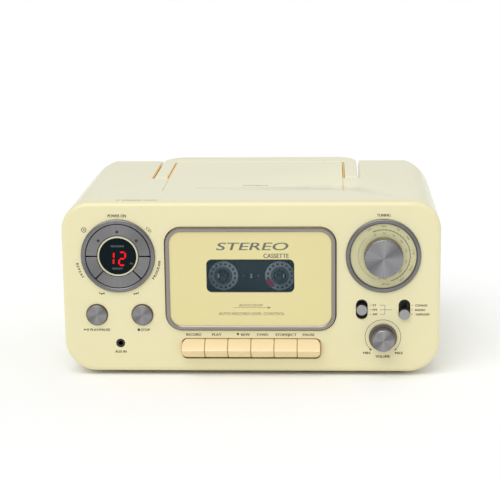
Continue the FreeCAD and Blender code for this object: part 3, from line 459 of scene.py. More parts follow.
def sweep(name, path, section, material, level=0.0, smooth=True):
    """A closed section of (outward, height) pairs in mm carried along a path on the face: each
    point is the path's point plus outward times its direction, and stands height off the face.
    An open path's ends are closed with flat caps."""
    points, outs, closed = path
    section = np.asarray(section) * MM
    flat = points[:, None, :] + outs[:, None, :] * section[None, :, :1]
    y = np.broadcast_to(FACE_Y - level * MM - section[None, :, 1], flat.shape[:2])
    grid = np.stack([flat[..., 0], y, flat[..., 1]], -1)
    rows, columns = grid.shape[:2]
    faces = grid_faces(rows, columns, closed, True)
    if not closed:
        faces.append(list(range(columns)))
        faces.append(list(range((rows - 1) * columns, rows * columns))[::-1])
    return mesh_piece(name, grid, faces, material, smooth)


def soften(piece, width, angle=30.0, segments=2):
    """Rounds a piece's sharp edges by a bevel of the given width in mm."""
    modifier = piece.modifiers.new("edge_rounding", "BEVEL")
    modifier.width = width * MM
    modifier.segments = segments
    modifier.limit_method = "ANGLE"
    modifier.angle_limit = math.radians(angle)
    modifier.harden_normals = True
    return piece


def painted(piece, finish_name):
    """Gives a piece one finish in place of any other."""
    piece.data.materials.clear()
    piece.data.materials.append(finish(finish_name))
    return piece


def merged(name, pieces):
    """Several mesh objects as one."""
    first = pieces[0]
    with bpy.context.temp_override(active_object=first, selected_editable_objects=pieces,
                                   selected_objects=pieces, object=first):
        bpy.ops.object.join()
    first.name = name
    first.data.name = name
    return first


def fit(piece, body, slot, *replaced):
    """Rides a piece on its body and hides the CAD nodes it stands for; its slot is not used."""
    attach(piece, body)
    if replaced:
        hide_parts(*replaced)
    return piece


def face_spot(x, z):
    """A place on the face from mm across and mm above the cabinet's underside."""
    return x * MM, BASE_Z + z * MM


def cad_copy(node, name, width, angle=25.0, segments=3, flatten=1.0):
    """A CAD node's shape as a clean mesh, its flat faces joined and its edges rounded."""
    mesh = NODES[node].data.copy()
    work = bmesh.new()
    work.from_mesh(mesh)
    bmesh.ops.remove_doubles(work, verts=work.verts, dist=2e-6)
    bmesh.ops.dissolve_limit(work, angle_limit=math.radians(flatten), verts=work.verts, edges=work.edges)
    fresh = bpy.data.meshes.new(name)
    work.to_mesh(fresh)
    work.free()
    bpy.data.meshes.remove(mesh)
    for label in ("custom_normal", "sharp_edge", "sharp_face"):
        if label in fresh.attributes:
            fresh.attributes.remove(fresh.attributes[label])
    piece = bpy.data.objects.new(name, fresh)
    bpy.context.scene.collection.objects.link(piece)
    fresh.materials.clear()
    fresh.shade_smooth()
    return soften(piece, width, angle, segments)


def stand_in(node, name, width, material, slot, *rounding):
    """Replaces a CAD node by its rounded copy in a material; rounding goes on to cad_copy."""
    piece = cad_copy(node, name, width, *rounding)
    piece.data.materials.append(material)
    return fit(piece, body_of(node), slot, node)


# ---------------------------------------------------------------- finishes

# Each finish: its maker, its colour or the setting that holds it, and the maker's other values in order.
LOOKS = {
    "cream_face": (moulded, "face_colour", 0.36, 2.2, 0.000004, 0.25),
    # The case's cream, made paler than the face by painted sheen.
    "cream_case": (moulded, "case_colour", 0.34, 2.2, 0.000004, 0.3),
    "cream_door": (moulded, "door_colour", 0.34, 2.2, 0.000004, 0.25),
    "cream_keys": (moulded, "key_colour", 0.22, 3.0, 0.000002, 0.5),
    "pale_collar": (moulded, (0.60, 0.60, 0.41), 0.3, 3.0, 0.000002, 0.3),
    "black_plastic": (moulded, (0.018, 0.017, 0.016), 0.5, 3.0, 0.00001),
    "reel_grey": (moulded, (0.17, 0.21, 0.24), 0.45, 3.0, 0.000004),
    "reel_ring": (moulded, (0.74, 0.86, 0.92), 0.45, 3.0, 0.000004),
    "white_plastic": (moulded, (0.7, 0.7, 0.68), 0.4, 2.0, 0.000004),
    "circuit_green": (moulded, (0.03, 0.2, 0.08), 0.35, 1.0, 0.00001, 0.4, 0.2),
    "speaker_paper": (moulded, (0.03, 0.03, 0.03), 0.8, 1.2, 0.00003, 0.0, 0.2),
    "black_rubber": (moulded, (0.02, 0.02, 0.02), 0.7, 1.5, 0.00002, 0.0, 0.1),
    "dial_cream": (moulded, (0.63, 0.60, 0.345), 0.4, 3.0, 0.000002, 0.2),
    "display_glass": (moulded, (0.004, 0.009, 0.012), 0.1, 0.3, 0.000001, 0.0, 0.03, 0.06),
    "ink": (moulded, "ink_colour", 0.5, 6.0, 0.000004, 0.0, 0.3),
    "pale_ink": (moulded, (0.26, 0.23, 0.16), 0.5, 6.0, 0.000004, 0.0, 0.3),
    "grey_ink": (moulded, (0.06, 0.09, 0.1), 0.5, 6.0, 0.000004, 0.0, 0.3),
    "title_ink": (moulded, (0.15, 0.155, 0.14), 0.5, 6.0, 0.000004, 0.0, 0.3),
    # Painted shadow for the gaps round the round buttons.
    "shadow_brown": (moulded, (0.2, 0.14, 0.06), 0.5, 3.0, 0.000004),
    "display_ink": (moulded, (0.10, 0.14, 0.15), 0.6, 6.0, 0.000004, 0.0, 0.2),
    "scale_ink": (moulded, (0.3, 0.36, 0.4), 0.6, 6.0, 0.000004, 0.0, 0.2),
    # Warm brown painted shade on the key ribs and the key slot's lip, for the shade between and above the keys.
    "key_shade": (moulded, (0.60, 0.33, 0.12), 0.5, 3.0, 0.000004),
    # Warm orange painted shade for the liners in the gaps round the lid and handle.
    "gap_shade": (moulded, (0.93, 0.50, 0.13), 0.5, 3.0, 0.000004),
    "red_mark": (moulded, (0.80, 0.07, 0.13), 0.45, 3.0, 0.000004),
    "dark_metal_trim": (brushed, (0.33, 0.30, 0.285), 0.36, 3.0),
    # Dark brushed metal for the volume knob's skirt, and painted gap shadow round the door trim.
    "dark_skirt": (brushed, (0.17, 0.15, 0.14), 0.4, 3.0),
    "satin_metal": (brushed, (0.25, 0.245, 0.25), 0.38, 2.0),
    "spun_metal": (brushed, (0.45, 0.44, 0.45), 0.3, 3.0),
    "silver_plastic": (brushed, (0.36, 0.355, 0.36), 0.3, 4.0, 0.9),
    "zinc_steel": (brushed, (0.5, 0.5, 0.48), 0.4, 1.0),
    "bright_steel": (brushed, (0.72, 0.72, 0.73), 0.14, 1.0),
    "brass_wheel": (brushed, (0.6, 0.44, 0.18), 0.28, 4.0),
    "core_steel": (brushed, (0.12, 0.11, 0.1), 0.55, 2.0, 0.6),
    "smoked_window": (glass, (0.04, 0.085, 0.115), 0.24),
    "lit_red": (lamp_material, (1.0, 0.006, 0.012), 0.95),
}
FINISHES = {}
SQUARE = np.array([[-1, -1], [1, -1], [1, 1], [-1, 1]])


def finish(slot):
    """The material of a finish, made the first time it is asked for."""
    if slot not in FINISHES:
        maker, colour, *values = LOOKS[slot]
        if isinstance(colour, str):
            colour = tuple(getattr(settings(), colour))
        FINISHES[slot] = maker(slot, colour, *values)
    return FINISHES[slot]


# ---------------------------------------------------------------- print

def letters(text, x, z, height, width=None, turn=0.0, level=0.0, weight=0.0, slant=0.0):
    """Words on the face, centred on a place in mm, as a thin mesh of the ink's depth. The
    characters are scaled to a capital height and, if given, to a width. A weight strikes them
    twice, that many mm apart, which thickens their upright strokes."""
    curve = bpy.data.curves.new("words", "FONT")
    curve.body = text
    curve.align_x = "CENTER"
    curve.size = height * MM / 0.73
    curve.shear = slant
    curve.extrude = settings().ink_depth / 2
    curve.resolution_u = 4
    holder = bpy.data.objects.new("words", curve)
    bpy.context.scene.collection.objects.link(holder)
    bpy.context.view_layer.update()
    mesh = bpy.data.meshes.new_from_object(holder.evaluated_get(bpy.context.evaluated_depsgraph_get()))
    bpy.data.objects.remove(holder)
    bpy.data.curves.remove(curve)
    co = np.zeros(len(mesh.vertices) * 3)
    mesh.vertices.foreach_get("co", co)
    co = co.reshape(-1, 3)
    low, high = co.min(0), co.max(0)
    mid = (low + high) / 2
    stretch = width * MM / (high[0] - low[0]) if width else 1.0
    across, up = (co[:, 0] - mid[0]) * stretch, co[:, 1] - height * MM / 2
    a = math.radians(turn)
    px, pz = face_spot(x, z)
    points = np.stack([px + across * math.cos(a) - up * math.sin(a),
                       FACE_Y - level * MM - co[:, 2],
                       pz + across * math.sin(a) + up * math.cos(a)], -1)
    mesh.vertices.foreach_set("co", points.ravel())
    if weight:
        faces = [list(face.vertices) for face in mesh.polygons]
        shift = np.array([math.cos(a), -0.1, math.sin(a)]) * weight / 2 * MM
        second = [[index + len(points) for index in face] for face in faces]
        mesh.clear_geometry()
        mesh.from_pydata(np.concatenate([points + shift, points - shift]).tolist(), [], faces + second)
    piece = bpy.data.objects.new("words", mesh)
    bpy.context.scene.collection.objects.link(piece)
    return piece


def curved_letters(text, x, z, radius, middle_angle, height, pitch, level=0.0, inward=False, weight=0.0):
    """Words along a circle, one letter at a time: each letter stands on the circle at its own
    angle, pitch mm after the one before, its head pointing out, or in if asked."""
    pieces = []
    for k, letter in enumerate(text):
        if letter == " ":
            continue
        step = math.degrees(pitch / radius) * (k - (len(text) - 1) / 2)
        angle = middle_angle + step if inward else middle_angle - step
        lift = radius - height / 2 if not inward else radius + height / 2
        spot = (x + lift * math.cos(math.radians(angle)), z + lift * math.sin(math.radians(angle)))
        turn = angle - 90 if not inward else angle + 90
        pieces.append(letters(letter, spot[0], spot[1], height, None, turn, level, weight))
    return pieces


def flat_shape(outline, level, depth):
    """A thin plate of any outline on the face, its points in mm from the face's own origin."""
    outline = np.asarray(outline)
    count = len(outline)
    xs = outline[:, 0] * MM
    zs = BASE_Z + outline[:, 1] * MM
    low = np.stack([xs, np.full(count, FACE_Y - level * MM), zs], -1)
    high = np.stack([xs, np.full(count, FACE_Y - (level + depth) * MM), zs], -1)
    faces = [list(range(count)), list(range(count, 2 * count))[::-1]]
    faces += grid_faces(2, count, False, True)
    return mesh_piece("plate", np.concatenate([low, high]), faces, finish("ink"), False)


def stroke(x0, z0, x1, z1, width, level=0.0):
    """A printed line between two places in mm on the face."""
    run = np.array([x1 - x0, z1 - z0], float)
    side = np.array([-run[1], run[0]]) / np.linalg.norm(run) * width / 2
    a, b = np.array([x0, z0]), np.array([x1, z1])
    return flat_shape([a - side, b - side, b + side, a + side], level, 0.04)


def arc_line(x, z, radius, start, end, width, level=0.0):
    """A printed arc: two circles half the line's width either side of its radius."""
    t = np.radians(np.linspace(start, end, 72))
    rim = np.stack([np.cos(t), np.sin(t)], -1)
    hub = np.array([x, z])
    outline = np.concatenate([hub + rim * (radius + width / 2), (hub + rim * (radius - width / 2))[::-1]])
    return flat_shape(outline, level, 0.04)


def arrow_head(x, z, angle, size, level=0.0):
    """A printed triangle that points along an angle."""
    t = np.radians(angle + np.array([0, 140, 220]))
    return flat_shape(np.stack([x + size * np.cos(t), z + size * np.sin(t)], -1), level, 0.04)


def dot(x, z, radius, level=0.0):
    t = np.linspace(0, 2 * np.pi, 24, endpoint=False)
    return flat_shape(np.stack([x + radius * np.cos(t), z + radius * np.sin(t)], -1), level, 0.04)


def top_height(depth_mm):
    """Height of the sloping top, in metres, at a depth behind the face: the line through the
    front panel's upper edge at the seam and the lid's upper edge at its rear."""
    seam, edge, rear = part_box("rear_cabinet")[0].y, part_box("front_panel")[1].z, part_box("cd_lid")[1]
    return edge + (rear.z - edge) * (FACE_Y + depth_mm * MM - seam) / (rear.y - seam)


def lay_on_top(piece, depth_mm, z_mm):
    """Turns print made upright at a height of the face to lie on the top: what was up goes back
    from the given depth, and what stood proud of the face stands proud of the top."""
    mesh = piece.data
    co = np.zeros(len(mesh.vertices) * 3)
    mesh.vertices.foreach_get("co", co)
    co = co.reshape(-1, 3)
    back = co[:, 2] - BASE_Z - z_mm * MM + depth_mm * MM
    points = np.stack([co[:, 0], FACE_Y + back, top_height(back / MM) + FACE_Y - co[:, 1]], -1)
    mesh.vertices.foreach_set("co", points.ravel())
    return piece


def printed(name, pieces, body, slot, material="ink"):
    """Joins printed marks into one piece that rides on a body."""
    return fit(painted(merged(name, pieces), material), body, slot)


def seven_segment(digit, x, z, height, slant, level):
    """One lit digit: each of its seven bars is a hexagon along its own line, and the whole is
    leaned by moving each point across by its height times the slant."""
    lit = {"1": "bc", "2": "abged"}[digit]
    w, h, t = height * 0.22, height / 2, height * 0.062
    runs = {"a": (-w, h, w, h), "b": (w, h, w, 0), "c": (w, 0, w, -h), "d": (-w, -h, w, -h),
            "e": (-w, 0, -w, -h), "f": (-w, h, -w, 0), "g": (-w, 0, w, 0)}
    pieces = []
    for key in lit:
        x0, z0, x1, z1 = runs[key]
        run = np.array([x1 - x0, z1 - z0])
        unit = run / np.linalg.norm(run)
        side = np.array([-unit[1], unit[0]]) * t
        a = np.array([x0, z0]) + unit * t * 0.6
        b = np.array([x1, z1]) - unit * t * 0.6
        shape = np.array([a, a + unit * t + side, b - unit * t + side,
                          b, b - unit * t - side, a + unit * t - side])
        shape[:, 0] += shape[:, 1] * slant
        pieces.append(flat_shape(shape + [x, z], level, 0.05))
    return pieces


def mm_of(point):
    """A point's place on the face in mm across and mm above the cabinet's underside."""
    return point.x / MM, (point.z - BASE_Z) / MM


def side_prism(name, profile, x0, x1):
    """A profile of (depth, height) pairs in mm, drawn as seen from the side, carried along X, in the warm brown of
    painted gap shade.
    """
    profile = np.asarray(profile) * MM
    count = len(profile)
    ends = [np.stack([np.full(count, x * MM), FACE_Y + profile[:, 0], BASE_Z + profile[:, 1]], -1)
            for x in (x0, x1)]
    faces = [list(range(count)), list(range(count, 2 * count))[::-1]] + grid_faces(2, count, False, True)
    return mesh_piece(name, np.concatenate(ends), faces, finish("key_shade"), False)


def key_rib(name, x0, x1):
    """The low rib down a key's side that closes most of the gap to its neighbour, painted warm brown as the shade in
    that gap.
    """
    profile = [(-7.9, 18.3), (-7.3, 19.0), (-0.3, 24.4), (3.0, 24.4), (3.0, 13.2), (-1.8, 13.2)]
    return side_prism(name, profile, x0, x1)


def soft_sun(name, toward, power, spread):
    """A sun with a wide disc, so its shadows are soft; toward is where it stands."""
    light = bpy.data.lights.new(name, "SUN")
    light.energy = power
    light.angle = math.radians(spread)
    lamp = bpy.data.objects.new(name, light)
    bpy.context.scene.collection.objects.link(lamp)
    lamp.rotation_euler = Vector(toward).to_track_quat("Z", "Y").to_euler()


def mm_box(node):
    """A node's box on the face, in mm: lowest and highest (x, z)."""
    low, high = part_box(node)
    return np.array([low.x, low.z]) / MM, np.array([high.x, high.z]) / MM


def body_of(node):
    return NODES[node]["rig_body"]


def ring_mark(x, z, radius, width, level=0.0):
    return arc_line(x, z, radius, 0.0, 359.9, width, level)


def arrow_line(x, z, radius, angle, length, level=0.0):
    """A short radial end stroke on an arc."""
    a = math.radians(angle)
    c, s = math.cos(a), math.sin(a)
    return stroke(x + (radius - length / 2) * c, z + (radius - length / 2) * s,
                  x + (radius + length / 2) * c, z + (radius + length / 2) * s, 0.42, level)


def reel_mark(spot, angle, level, radius, across, along):
    """A small square block on a reel ring, turned to its own angle."""
    a = math.radians(angle)
    out, side = np.array([math.cos(a), math.sin(a)]), np.array([-math.sin(a), math.cos(a)])
    x, z = mm_of(spot)
    hub = np.array([x, z]) + out * radius
    corners = [hub - out * along - side * across, hub + out * along - side * across,
               hub + out * along + side * across, hub - out * along + side * across]
    return flat_shape(np.array(corners), level, 0.06)


RING_PROFILE = [(24.2, -4.0), (24.2, 1.1), (24.45, 1.5), (24.9, 1.85), (25.4, 2.0), (26.4, 2.0), (26.9, 1.85),
                (27.35, 1.45), (27.6, 0.9), (27.6, 0.0), (25.9, 0.0), (25.9, -4.0)]
BUTTON_PROFILE = [(2.0, -8.0), (2.0, -3.0), (7.5, -3.0), (7.5, 1.3), (7.4, 1.7), (7.15, 2.0), (6.8, 2.15),
                  (6.45, 2.1), (5.0, 1.95), (0, 1.8)]


# ---------------------------------------------------------------- operators

class HIFI_OT_casing(bpy.types.Operator):
    """Gives every carried-over CAD node the finish of its slot"""
    bl_idname = "hifi.casing"
    bl_label = "Casing finishes"

    def execute(self, context):
        for part in frame["record"]["subparts"]:
            dress(finish(part["material_slot"]), part["node"])
        dress(finish("cream_door"), "cassette_door")
        for node, slot, width in (("rear_cabinet", "cream_case", 0.7), ("front_panel", "cream_face", 0.3),
                                  ("cd_lid", "cream_case", 0.4), ("carry_handle", "cream_case", 0.8)):
            stand_in(node, node + "_shell", width, finish(slot), slot, 40.0, 2, 0.5)
        dress(finish("black_plastic"), "cassette_holder", "display_board")
        # Liners in the gaps beside the lid, the handle's arms and the handle's channel, painted warm brown as the
        # shade in those gaps; the right channel liner takes the case cream, as that side is lit.
        for side, tag in ((-1, "left"), (1, "right")):
            for part, inner, outer, front, rear, sunk in (("lid_gap", 68.76, 68.98, 43.5, 96.5, 0.35),
                                                          ("arm_gap", 69.1, 70.15, 96.5, 167, 0.8),
                                                          ("channel_gap", 81.9, 82.75, 96.2, 160, 0.6)):
                edge = [(d, (top_height(d) - BASE_Z) / MM - low)
                        for d, low in ((rear, 3.2), (front, 3.2), (front, sunk), (rear, sunk))]
                liner = side_prism(f"{part}_{tag}", edge, *sorted((side * inner, side * outer)))
                lit_side = part == "channel_gap" and tag == "right"
                fit(painted(liner, "cream_case" if lit_side else "gap_shade"), "cabinet", "cream_case")
        return {"FINISHED"}


class HIFI_OT_cassette_door(bpy.types.Operator):
    """Metal trim with a painted gap shadow round it, smoked window and its dark rim on the cassette door"""
    bl_idname = "hifi.cassette_door"
    bl_label = "Cassette door"

    def execute(self, context):
        low, high = mm_box("cassette_door_trim")
        width, rise, seat = 3.2, 1.8, 0.6
        mid_low, mid_high = low + width / 2, high - width / 2
        path = box_path(mid_low * MM, mid_high * MM, (12 - width / 2) * MM, 16)
        bevel = [(-1.6, seat), (-1.55, 1.05), (-1.2, 1.45), (-0.5, rise - 0.05), (0.75, rise),
                 (1.05, rise - 0.12), (1.15, rise - 0.5), (1.15, seat)]
        trim = sweep("door_trim", path, bevel, finish("dark_metal_trim"))
        fit(trim, "cassette_door", "dark_metal_trim", "cassette_door_trim")
        # A dark lip round the trim's outer edge: painted shadow of the gap between the door and the cabinet.
        gap_shadow_section = [(1.1, seat), (1.1, 1.35), (1.35, 1.3), (1.55, 1.0), (1.6, seat)]
        edge = sweep("door_trim_edge", path, gap_shadow_section, finish("dark_skirt"))
        fit(edge, "cassette_door", "dark_metal_trim")
        low, high = mm_box("cassette_window")
        path = box_path(low * MM, high * MM, 4 * MM, 10)
        rim = sweep("window_rim", path, [(-0.55, -0.5), (-0.55, 0.12), (-0.05, 0.5), (0.0, -0.5)],
                    finish("black_plastic"))
        fit(rim, "cassette_door", "black_plastic")
        stand_in("cassette_window", "window_pane", 0.25, finish("smoked_window"), "smoked_window")
        return {"FINISHED"}


class HIFI_OT_keys(bpy.types.Operator):
    """The six piano keys with rounded edges"""
    bl_idname = "hifi.keys"
    bl_label = "Piano keys"

    def execute(self, context):
        for name in ("record", "play", "rewind", "fast_forward", "stop_eject", "pause"):
            node = "key_" + name
            stand_in(node, node + "_cap", settings().key_round / MM, finish("cream_keys"), "cream_keys",
                     30.0, 4, 2.0)
            low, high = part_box(node)
            # A painted-shade rib beside each key closes the gap to the next.
            rib = key_rib(node + "_rib", high.x / MM + 0.05, high.x / MM + 0.5)
            fit(rib, node, "cream_keys")
        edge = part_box("key_record")[0].x / MM
        fit(key_rib("key_record_outer_rib", edge - 0.5, edge - 0.05), "key_record", "cream_keys")
        top = (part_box("key_play")[1].z - BASE_Z) / MM
        # A painted-shade lip along the top of the key slot.
        section = [(0.9, top + 0.1), (1.8, top + 0.1), (1.8, top + 0.62), (0.9, top + 0.62)]
        lip = side_prism("key_slot_lip", section, -51.2, 51.2)
        fit(lip, "cabinet", "cream_keys")
        return {"FINISHED"}


class HIFI_OT_left_dial(bpy.types.Operator):
    """Ring, touch segments, display and its lit digits, and the two round buttons below"""
    bl_idname = "hifi.left_dial"
    bl_label = "Left dial"

    def execute(self, context):
        x, z = LEFT_DIAL.x, LEFT_DIAL.z
        hub = (x, FACE_Y, z)
        satin = spun("satin_dial", (x, 0, z), (0.215, 0.21, 0.215), 0.34, 0.5)
        ring = lathe("left_ring", RING_PROFILE, hub, satin, 128)
        well = lathe("left_well", [(15.0, -6.9), (15.0, -4.5), (25.8, -4.5), (25.8, -6.9)], hub,
                     finish("black_plastic"), 96)
        fit(well, "cabinet", "black_plastic")
        pad = [(-4.15, -4.4), (-4.15, 1.4), (4.15, 1.4), (4.15, -4.4)]
        mid = 19.75 * MM
        fixed = sweep("fixed_segment", circle_path(x, z, mid, 0.9, 179.1, 72), pad, satin)
        soften(fixed, 0.4, 40)
        fit(fixed, "cabinet", "satin_metal")
        fit(ring, "cabinet", "satin_metal", "display_bezel")
        for body in ("repeat_button", "skip_rocker", "program_button"):
            stand_in(body, body + "_cap", 0.4, satin, "satin_metal", 30.0)
        collar = lathe("display_collar", [(13.85, -5), (13.85, 1.5), (14.1, 1.78), (14.6, 1.8), (15.0, 1.5),
                                          (15.2, 0.9), (15.2, -5)], hub, finish("pale_collar"), 96)
        fit(collar, "cabinet", "cream_face")
        dome = [(0, -1.0), (13.8, -1.0), (13.8, 0.45), (13.5, 0.7), (9, 0.84), (4, 0.89), (0, 0.9)]
        lens = lathe("lens_disc", dome, hub, finish("display_glass"), 96)
        fit(lens, "cabinet", "display_glass", "display_lens")
        mx, mz = mm_of(LEFT_DIAL)
        lit = seven_segment("1", mx - 5.2, mz - 1.6, 9.4, 0.06, 0.85)
        lit += seven_segment("2", mx + 3.2, mz - 1.9, 9.8, 0.06, 0.85)
        printed("lit_digits", lit, "cabinet", "display_glass", "lit_red")
        marks = [letters("PROGRAM", mx - 0.2, mz + 7.6, 1.6, 9.5, level=0.87, weight=0.1),
                 letters("REPEAT", mx - 0.3, mz - 9.3, 1.5, 7.5, level=0.85, weight=0.1),
                 letters("ALL", mx + 10.2, mz - 5.4, 1.4, 3.0, level=0.83, weight=0.1)]
        printed("display_marks", marks, "cabinet", "display_glass", "display_ink")
        for k, angle in enumerate((40, 90, 140)):
            a = math.radians(angle)
            spot = (x + 18.4 * MM * math.cos(a), FACE_Y, z + 18.4 * MM * math.sin(a))
            lamp = lathe(f"mode_lamp_{k + 1}", [(0, 0.4), (1.05, 0.4), (1.05, 1.5), (0.8, 1.66), (0, 1.75)], spot,
                         finish("black_plastic"), 24)
            fit(lamp, "cabinet", "black_plastic")
        for body in ("play_pause_button", "stop_button"):
            mid_point = middle(body)
            metal = spun(body + "_metal", (mid_point.x, 0, mid_point.z), (0.25, 0.245, 0.25), 0.3, 0.9)
            cap = lathe(body + "_cap", BUTTON_PROFILE, (mid_point.x, FACE_Y, mid_point.z), metal, 72)
            fit(cap, body, "spun_metal", body)
            # A ring in shadow brown fills the gap between the button and its hole, as painted shadow.
            shade = lathe(body + "_gap", [(7.6, -0.4), (7.6, 0.02), (8.28, 0.06), (8.28, -0.4)],
                          (mid_point.x, FACE_Y, mid_point.z), finish("shadow_brown"), 72)
            fit(shade, "cabinet", "black_plastic")
        return {"FINISHED"}


class HIFI_OT_right_dial(bpy.types.Operator):
    """Tuning ring, scale and knob, volume knob and the two slide switches"""
    bl_idname = "hifi.right_dial"
    bl_label = "Right dial"

    def execute(self, context):
        x, z = RIGHT_DIAL.x, RIGHT_DIAL.z
        hub = (x, FACE_Y, z)
        satin = spun("satin_ring", (x, 0, z), (0.215, 0.21, 0.215), 0.34, 0.35)
        ring = lathe("tuning_ring", RING_PROFILE, hub, satin, 128)
        fit(ring, "cabinet", "satin_metal", "tuning_trim_ring")
        metal = spun("tuning_metal", (x, 0, z), (0.255, 0.25, 0.26), 0.26, 1.1)
        knob = lathe("tuning_cap", [(3.0, -9.8), (3.0, 1.0), (13.6, 1.0), (14.35, 1.8), (14.35, 3.5), (14.3, 5.2),
                                    (14.25, 6.8), (14.2, 8.5), (14.15, 9.9), (14.0, 10.5), (13.7, 10.85),
                                    (13.3, 11.0), (12.9, 10.95), (0, 10.7)],
                     hub, metal, 360, (settings().knurl_count, 0.35, 2.0, 9.7))
        fit(knob, "tuning_knob", "spun_metal", "tuning_knob")
        volume = (VOLUME.x, FACE_Y, VOLUME.z)
        metal = spun("volume_metal", (VOLUME.x, 0, VOLUME.z), (0.255, 0.25, 0.26), 0.26, 1.1)
        profile = [(3.0, -8.9), (3.0, 0.6), (8.0, 0.6), (8.5, 1.9), (8.45, 5.7), (8.4, 9.8), (8.3, 11.0),
                   (8.05, 11.6), (7.6, 11.95), (7.2, 11.9), (0, 11.7)]
        knob = lathe("volume_cap", profile, volume, metal, 288, (48, 0.3, 2.5, 10.9))
        fit(knob, "volume_knob", "spun_metal", "volume_knob")
        skirt = lathe("volume_skirt", [(8.2, 0.6), (10.2, 0.6), (10.4, 0.9), (10.4, 1.5), (10.1, 1.8), (8.3, 2.1)],
                      volume, finish("dark_skirt"), 96)
        fit(skirt, "volume_knob", "dark_metal_trim")
        for node in ("band_switch_knob", "function_switch_knob"):
            stand_in(node, node + "_cap", 0.8, finish("silver_plastic"), "silver_plastic", 30.0, 4)
        mx, mz = mm_of(RIGHT_DIAL)
        marks = [arc_line(mx, mz, 19.5, -73, 112, 0.42, 0.3), arrow_line(mx, mz, 19.5, 112, 1.4, 0.3)]
        for angle, text in ((118, "530"), (90, "600"), (62, "700"), (37, "900"), (8, "1100"), (-24, "1300"),
                            (-52, "1600")):
            marks += curved_letters(text, mx, mz, 22.9, angle, 1.25, 1.15, 0.3)
        for angle, text in ((112, "88"), (88, "92"), (64, "96"), (40, "100"), (14, "102"), (-14, "104"),
                            (-42, "108")):
            marks += curved_letters(text, mx, mz, 17.7, angle, 1.2, 1.1, 0.3)
        for angle in np.linspace(-68, 108, 23):
            a = math.radians(angle)
            reach = (19.8, 20.7)
            marks.append(stroke(mx + reach[0] * math.cos(a), mz + reach[0] * math.sin(a),
                                mx + reach[1] * math.cos(a), mz + reach[1] * math.sin(a), 0.18, 0.3))
        marks += [letters("FM MHz", mx - 0.6, mz - 17.0, 1.3, 6.2, level=0.3),
                  letters("AM kHz", mx + 1.6, mz - 21.2, 1.2, 5.6, level=0.3)]
        printed("tuning_scale", marks, "cabinet", "dial_cream", "ink")
        back = [arc_line(mx, mz, 18.4, 134, 252, 0.22, 0.3)]
        printed("tuning_back_arc", back, "cabinet", "dial_cream", "pale_ink")
        return {"FINISHED"}


